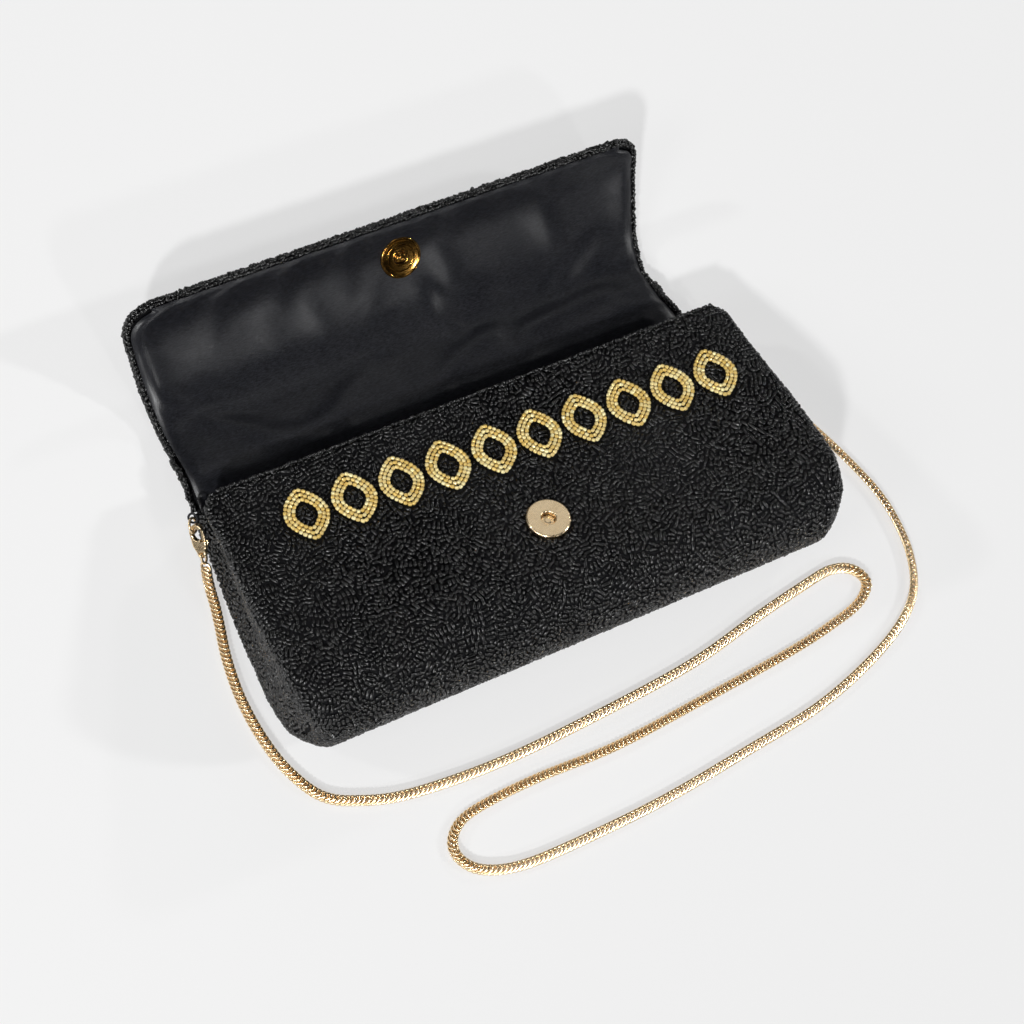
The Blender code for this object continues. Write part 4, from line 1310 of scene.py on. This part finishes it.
def buildFlapBeads(glass):
    cell = beadSettings["cell"]
    s = (np.arange(int(flapLength / cell)) + 0.5) * cell
    widest = 123 * mm
    x = (np.arange(int(2 * widest / cell)) + 0.5) * cell - widest
    ss, xx = np.meshgrid(s, x, indexing="ij")
    margin = 0.3 * mm
    free = (xx > -flapReach(ss, "left", margin)) & (xx < flapReach(ss, "right", margin))
    free &= ss < flapLength - margin
    sown = sowBeads(free, 71)
    bs, bx = (sown[:, 0] + 0.5) * cell, (sown[:, 1] + 0.5) * cell - widest
    rng = np.random.RandomState(72)
    widths = beadSettings["width"] * rng.uniform(0.86, 1.05, len(bs))
    place, along, normal = flapAt(bs, 3.55 * mm - widths / 2)
    place = place + across * bx[:, None]
    direction = along * np.cos(sown[:, 2])[:, None] + across * np.sin(sown[:, 2])[:, None]
    made = []
    for k, name, start, end in flapStretches():
        keep = (bs >= start) & (bs < end + (1 if name == "lower" else 0))
        made.append(
            beadPiece(f"flapBeads_{name}", place[keep], direction[keep], -normal[keep], sown[keep, 3],
                      widths[keep], glass, 73 + k)
        )
    print("flap beads:", len(bs))
    return made


# The flap's outline between two distances from the hinge, as (s, x): up the left side, along the
# free edge where it is reached, and down the right side.
def flapEdgePath(start, end, inset):
    last = end >= flapLength
    steps = max(12, int((end - start) / (0.5 * mm)))
    s = np.linspace(start, end - (inset if last else 0), steps)
    if last:
        s = np.concatenate((s[:-1], s[-1] - (s[-1] - s[-2]) * (0.5 ** np.arange(1, 7)), s[-1:]))
    left = np.stack((s, -flapReach(s, "left", inset)), axis=1)
    right = np.stack((s, flapReach(s, "right", inset)), axis=1)[::-1]
    if last:
        return [np.concatenate((left, right))]
    return [left, right]


def buildFlapRims(glass):
    made = []
    for k, name, start, end in flapStretches():
        for part, outline in enumerate(flapEdgePath(max(start, -1 * mm), end, 0.5 * mm)):
            even = evenPoints(outline, max(30, int(runAlong(outline)[-1] / (0.8 * mm))))
            place, _, normal = flapAt(even[:, 0], 0.0)
            place = place + across * even[:, 1:2]
            along = unit(np.gradient(place, axis=0))
            outward = unit(np.cross(normal, along))
            centre = place.mean(axis=0)
            flip = np.sign(((place - centre) * outward).sum(axis=1).mean())
            seed = 81 + 3 * k + part
            title = f"flapRim_{name}_{part}"
            made.append((k, buildRim(title, place, along, outward * flip, -normal, glass, seed, "flap")))
    return made


# Even places and directions along a path of (u, v).
def rowBeads(path, length):
    count = max(2, int(round(runAlong(path)[-1] / length)))
    fine = evenPoints(path, count * 4 + 1)
    middle = fine[2::4]
    heading = fine[3::4] - fine[1::4]
    return middle, np.arctan2(heading[:, 1], heading[:, 0])


def goldPiece(name, spots, headings, finish, seed):
    rng = np.random.RandomState(seed)
    spots = spots + rng.normal(0, 0.05 * mm, spots.shape)
    width = leafSettings["beadWidth"] * rng.uniform(0.92, 1.05, len(spots))
    place, down, crosswise, outward = bodySurface(spots[:, 0], spots[:, 1], width / 2 - leafSettings["raise"])
    headings = headings + rng.normal(0, 0.08, len(headings))
    along = down * np.cos(headings)[:, None] + crosswise * np.sin(headings)[:, None]
    lengths = leafSettings["beadLength"] * rng.uniform(0.82, 0.98, len(spots))
    return beadPiece(name, place, along, outward, lengths, width, finish, seed, sides=10, rounded=True)


def buildMotif(finish):
    made = []
    for k in range(leafSettings["count"]):
        spots, headings = [], []
        for inset in leafSettings["rows"]:
            scale = (leafSettings["width"] - 2 * inset) / leafSettings["width"]
            along = np.linspace(-0.5, 0.5, 60) * leafSettings["length"] * scale
            half = leafHalf(along, inset)
            loop = np.concatenate((np.stack((along, half), 1), np.stack((along, -half), 1)[::-1][1:]))
            u, v = leafPlace(k, loop[:, 0], loop[:, 1])
            middle, heading = rowBeads(np.stack((u, v), 1), leafSettings["beadLength"])
            spots.append(middle)
            headings.append(heading)
        spots, headings = np.concatenate(spots), np.concatenate(headings)
        keep = [0]
        for i in range(1, len(spots)):
            if np.linalg.norm(spots[keep] - spots[i], axis=1).min() > 1.3 * mm:
                keep.append(i)
        piece = goldPiece(f"goldLeafBeads_{k + 1:02d}", spots[keep], headings[keep], finish, 101 + k)
        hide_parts(f"gold_leaf_{k + 1:02d}")
        made.append(piece)
    for piece in made:
        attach(piece, "front")
    print("gold motif:", len(made), "pieces")


turnedSettings = {
    # each turned piece: corners as (radius, height) in millimetres, how soft they are, and its segments
    "socketCap": (
        ((2.9, 0.0), (2.9, 2.05), (3.25, 2.4), (8.55, 2.4), (9.0, 2.0), (9.0, 0.0), (7.9, 0.0), (7.9, 1.7),
         (3.7, 1.7), (3.7, 0.0), (2.9, 0.0)), 0.14, 96,
    ),
    "socketRivet": (
        ((0.0, 0.5), (1.2, 0.5), (1.45, 0.35), (2.45, 0.35), (2.6, 0.2), (2.6, 0.0), (1.8, 0.0), (1.8, -1.1),
         (0.0, -1.1)), 0.08, 48,
    ),
    "studCap": (
        ((2.9, 0.0), (9.0, 0.0), (9.0, 0.75), (8.72, 1.0), (8.3, 1.0), (8.0, 0.7), (6.2, 0.5), (5.9, 0.62),
         (5.6, 0.5), (3.6, 0.42), (3.3, 0.5), (2.9, 0.42), (2.9, 0.0)), 0.1, 96,
    ),
    "studRivet": (
        ((0.0, 1.5), (0.6, 1.5), (0.72, 1.88), (1.2, 1.9), (1.9, 1.72), (2.32, 1.3), (2.4, 0.75),
         (2.72, 0.55), (2.72, 0.3), (1.8, 0.0), (1.8, -2.5), (0.0, -2.5)), 0.16, 64,
    ),
}


def buildSnap(materials):
    down = np.array(snapSettings["socketDown"])
    foot = bodySurface(down, np.array(0.0), np.array(snapSettings["socketDepth"]))[0]
    outward = profileAt(0.0)[2]
    seat, _, normal = flapAt(snapSettings["studAlong"], -snapSettings["studLift"])
    for kind, name, node, place, axis, finish, body, slotName in (
        ("socketCap", "snapSocketCap", "socket_cap", foot, outward, "paleGold", "front", "pale_gold"),
        ("socketRivet", "snapSocketRivet", "socket_rivet", foot, outward, "paleGold", "front", "pale_gold"),
        ("studCap", "snapStudCap", "stud_cap", seat, normal, "darkBrass", "flap_lower", "dark_brass"),
        ("studRivet", "snapStudRivet", "stud_rivet", seat, normal, "darkBrass", "flap_lower", "dark_brass"),
    ):
        corners, bevel, segments = turnedSettings[kind]
        profile = [(radius * mm, height * mm) for radius, height in softProfile(corners, bevel)]
        piece = lathe(name, profile, place, axis, materials[finish], segments)
        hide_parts(node)
        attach(piece, body)
    print("snap built")


ringSettings = {"points": 96, "sides": 14, "threads": 22, "threadDepth": 0.16}
castSettings = {"hook": 0.13 * mm, "gate": 0.1 * mm, "polish": 4}  # finer grains keep more of the shape


def nodePoints(node):
    data = frame["nodes"][node].data
    points = np.empty(len(data.vertices) * 3, np.float32)
    data.vertices.foreach_get("co", points)
    return points.reshape(-1, 3).astype(float)


# Centre, axis, a direction in its plane, ring radius and wire radius of a ring node.
def ringPlace(node):
    points = nodePoints(node)
    centre = points.mean(axis=0)
    shape = np.linalg.svd(points - centre, full_matrices=False)[2]
    axis = shape[2]
    height = np.abs((points - centre) @ axis).max()
    radius = np.linalg.norm((points - centre) - np.outer((points - centre) @ axis, axis), axis=1)
    return centre, axis, shape[0], (radius.max() + radius.min()) / 2, height


# A soft-edged casting of the same shape as a part.
def castCopy(node, name, finish, voxel):
    source = frame["nodes"][node]
    piece = bpy.data.objects.new(name, source.data.copy())
    bpy.context.scene.collection.objects.link(piece)
    piece.data.materials.clear()
    piece.data.materials.append(finish)
    remesh = piece.modifiers.new("cast", "REMESH")
    remesh.mode = "VOXEL"
    remesh.voxel_size = voxel
    remesh.use_smooth_shade = True
    relax = piece.modifiers.new("polish", "SMOOTH")
    relax.factor = 0.5
    relax.iterations = castSettings["polish"]
    graph = bpy.context.evaluated_depsgraph_get()
    mesh = bpy.data.meshes.new_from_object(piece.evaluated_get(graph))
    piece.modifiers.clear()
    piece.data = mesh
    mesh.shade_smooth()
    return piece


def buildRing(node, name, finish, threads=0):
    centre, axis, flat, radius, wire = ringPlace(node)
    other = np.cross(axis, flat)
    turn = np.linspace(0, math.tau, ringSettings["points"], endpoint=False)
    path = centre + radius * (np.outer(np.cos(turn), flat) + np.outer(np.sin(turn), other))
    radii = wire * (1 + ringSettings["threadDepth"] * np.sin(turn * threads)) if threads else wire
    piece = sweep(name, path, radii, finish, ringSettings["sides"], axis)
    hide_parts(node)
    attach(piece, "root")
    return piece


def buildHardware(side, materials):
    hook = castCopy(f"clasp_{side}", f"claspBody_{side}", materials["paleGold"], castSettings["hook"])
    gate = castCopy(f"clasp_gate_{side}", f"claspGate_{side}", materials["paleGold"], castSettings["gate"])
    for piece, node, body in ((hook, f"clasp_{side}", "root"), (gate, f"clasp_gate_{side}", f"gate_{side}")):
        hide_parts(node)
        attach(piece, body)
    end = buildRing(f"jump_ring_{side}", f"chainEndRing_{side}", materials["paleGold"])
    buildRing(f"anchor_ring_{side}", f"anchorRing_{side}", materials["paleGold"])
    threads = ringSettings["threads"]
    buildRing(f"anchor_tab_{side}", f"anchorLoop_{side}", materials["satin"], threads)
    return [hook, gate, end]


studioSettings = {
    "floorReach": 6.0,
    "floor": (0.34, 0.34, 0.34),
    "floorGlow": 0.552,  # the table is a light table, so that shadows on it stay faint
    "world": 0.015,
    "suns": (
        # name, direction it comes from, width in degrees, strength
        ("keySun", (-0.60, -0.55, 0.62), 4.0, 2.00),
        ("rightSun", (0.85, -0.30, 0.55), 4.0, 0.90),
        ("backRightSun", (0.90, 0.45, 0.50), 4.0, 0.35),
        ("backLeftSun", (-0.75, 0.50, 0.50), 4.0, 0.60),
        ("frontSun", (0.15, -0.90, 0.55), 4.0, 0.50),
    ),
    "softboxes": (
        # name, place, aim, size, power
        ("backBox", (0.62, 1.20, 1.14), (0, 0, 0), 0.8, 1.3),
        ("nearBox", (0.02, 0.15, 0.44), (-0.08, 0.04, 0.0), 0.16, 0.10),
        ("leftBox", (-0.75, -0.10, 0.60), (-0.05, 0.05, 0.0), 0.3, 1.6),
    ),
}


def buildStudio():
    scene = bpy.context.scene
    scene.view_settings.view_transform = "Standard"
    world = bpy.data.worlds.new("studio")
    world.use_nodes = True
    world.node_tree.nodes["Background"].inputs[0].default_value = (1, 1, 1, 1)
    world.node_tree.nodes["Background"].inputs[1].default_value = studioSettings["world"]
    scene.world = world
    for name, source, width, strength in studioSettings["suns"]:
        data = bpy.data.lights.new(name, "SUN")
        data.angle = math.radians(width)
        data.energy = strength
        light = bpy.data.objects.new(name, data)
        scene.collection.objects.link(light)
        light.rotation_euler = (-Vector(source)).to_track_quat("-Z", "Y").to_euler()
    for name, place, aim, size, power in studioSettings["softboxes"]:
        data = bpy.data.lights.new(name, "AREA")
        data.size = size
        data.energy = power
        light = bpy.data.objects.new(name, data)
        scene.collection.objects.link(light)
        light.location = place
        light.rotation_euler = (Vector(aim) - Vector(place)).to_track_quat("-Z", "Y").to_euler()
    floorMaterial, _ = newMaterial("paleFloor", studioSettings["floor"], 0.9, Specular_IOR_Level=0.1,
                                   Emission_Color=(1, 1, 1, 1), Emission_Strength=studioSettings["floorGlow"])
    reach = studioSettings["floorReach"]
    corners = [(-reach, -reach, 0), (reach, -reach, 0), (reach, reach, 0), (-reach, reach, 0)]
    floor = fromFaces("floor", corners, [(0, 1, 2, 3)], floorMaterial, False)


# The front swings about the middle of the base; here the piece only has its placement baked into its mesh.
def bendFront(piece):
    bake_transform(piece)


def buildBag(materials):
    simulateSatin(materials["satin"])
    frontBeads, backBeads = buildBodyBeads(materials["blackBeads"])
    frontCloth, backCloth = buildBodyCloth(materials["groundCloth"])
    frontLining, backLining = buildPocketLining(materials["satin"])
    mouthEdge = buildMouthEdge(materials["blackBeads"])
    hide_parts("front_panel")
    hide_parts("back_panel", "base_panel")
    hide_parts("front_lining")
    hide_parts("back_lining", "base_lining")
    for piece in (frontBeads, frontCloth, frontLining):
        bendFront(piece)
    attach(mouthEdge, "front")
    for piece in (backBeads, backCloth, backLining):
        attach(piece, "root")
    print("body built")
    for side, sign in (("left", -1.0), ("right", 1.0)):
        outline = gussetOutline(sign)
        cloth, beads = buildGusset(side, sign, materials, outline)
        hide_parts(f"gusset_{side}_back", f"gusset_{side}_front")
        for piece in (cloth, beads):
            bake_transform(piece)
    print("gussets built")
    layers = buildFlap(materials)
    for k, (name, pieces) in enumerate(layers.items()):
        for piece, slotName in zip(pieces, ("satin", "satin", "board")):
            bendFlap(piece)
        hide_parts(f"flap_{name}_lining")
        if name != "bridge":
            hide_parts(f"flap_{name}_board")
    for k, piece in enumerate(buildFlapBeads(materials["blackBeads"])):
        bendFlap(piece)
        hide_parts(f"flap_{flapStretches()[k][1]}_shell")
    for k, piece in buildFlapRims(materials["blackBeads"]):
        bendFlap(piece)
    print("flap built")


# The parts that keep their own shape get their finish.
def paintParts(materials):
    looks = {
        "back_board": "board", "front_board": "board", "socket_magnet": "magnet", "socket_washer": "steel",
        "stud_washer": "steel", "clasp_pin_left": "steel", "clasp_pin_right": "steel",
    }
    for node, key in looks.items():
        data = frame["nodes"][node].data
        data.materials.clear()
        data.materials.append(materials[key])


addCamera()
print("camera placed")
materials = buildMaterials()
print("finishes mixed")
chain, chainPath = buildChain(materials["paleGold"])
print("chain built")
onChain = []
for side in ("left", "right"):
    onChain += buildHardware(side, materials)
    onChain.append(frame["nodes"][f"clasp_pin_{side}"])
print("clasps built")
buildBag(materials)
buildMotif(materials["goldBeads"])
buildSnap(materials)
paintParts(materials)
buildStudio()
print("studio lit")
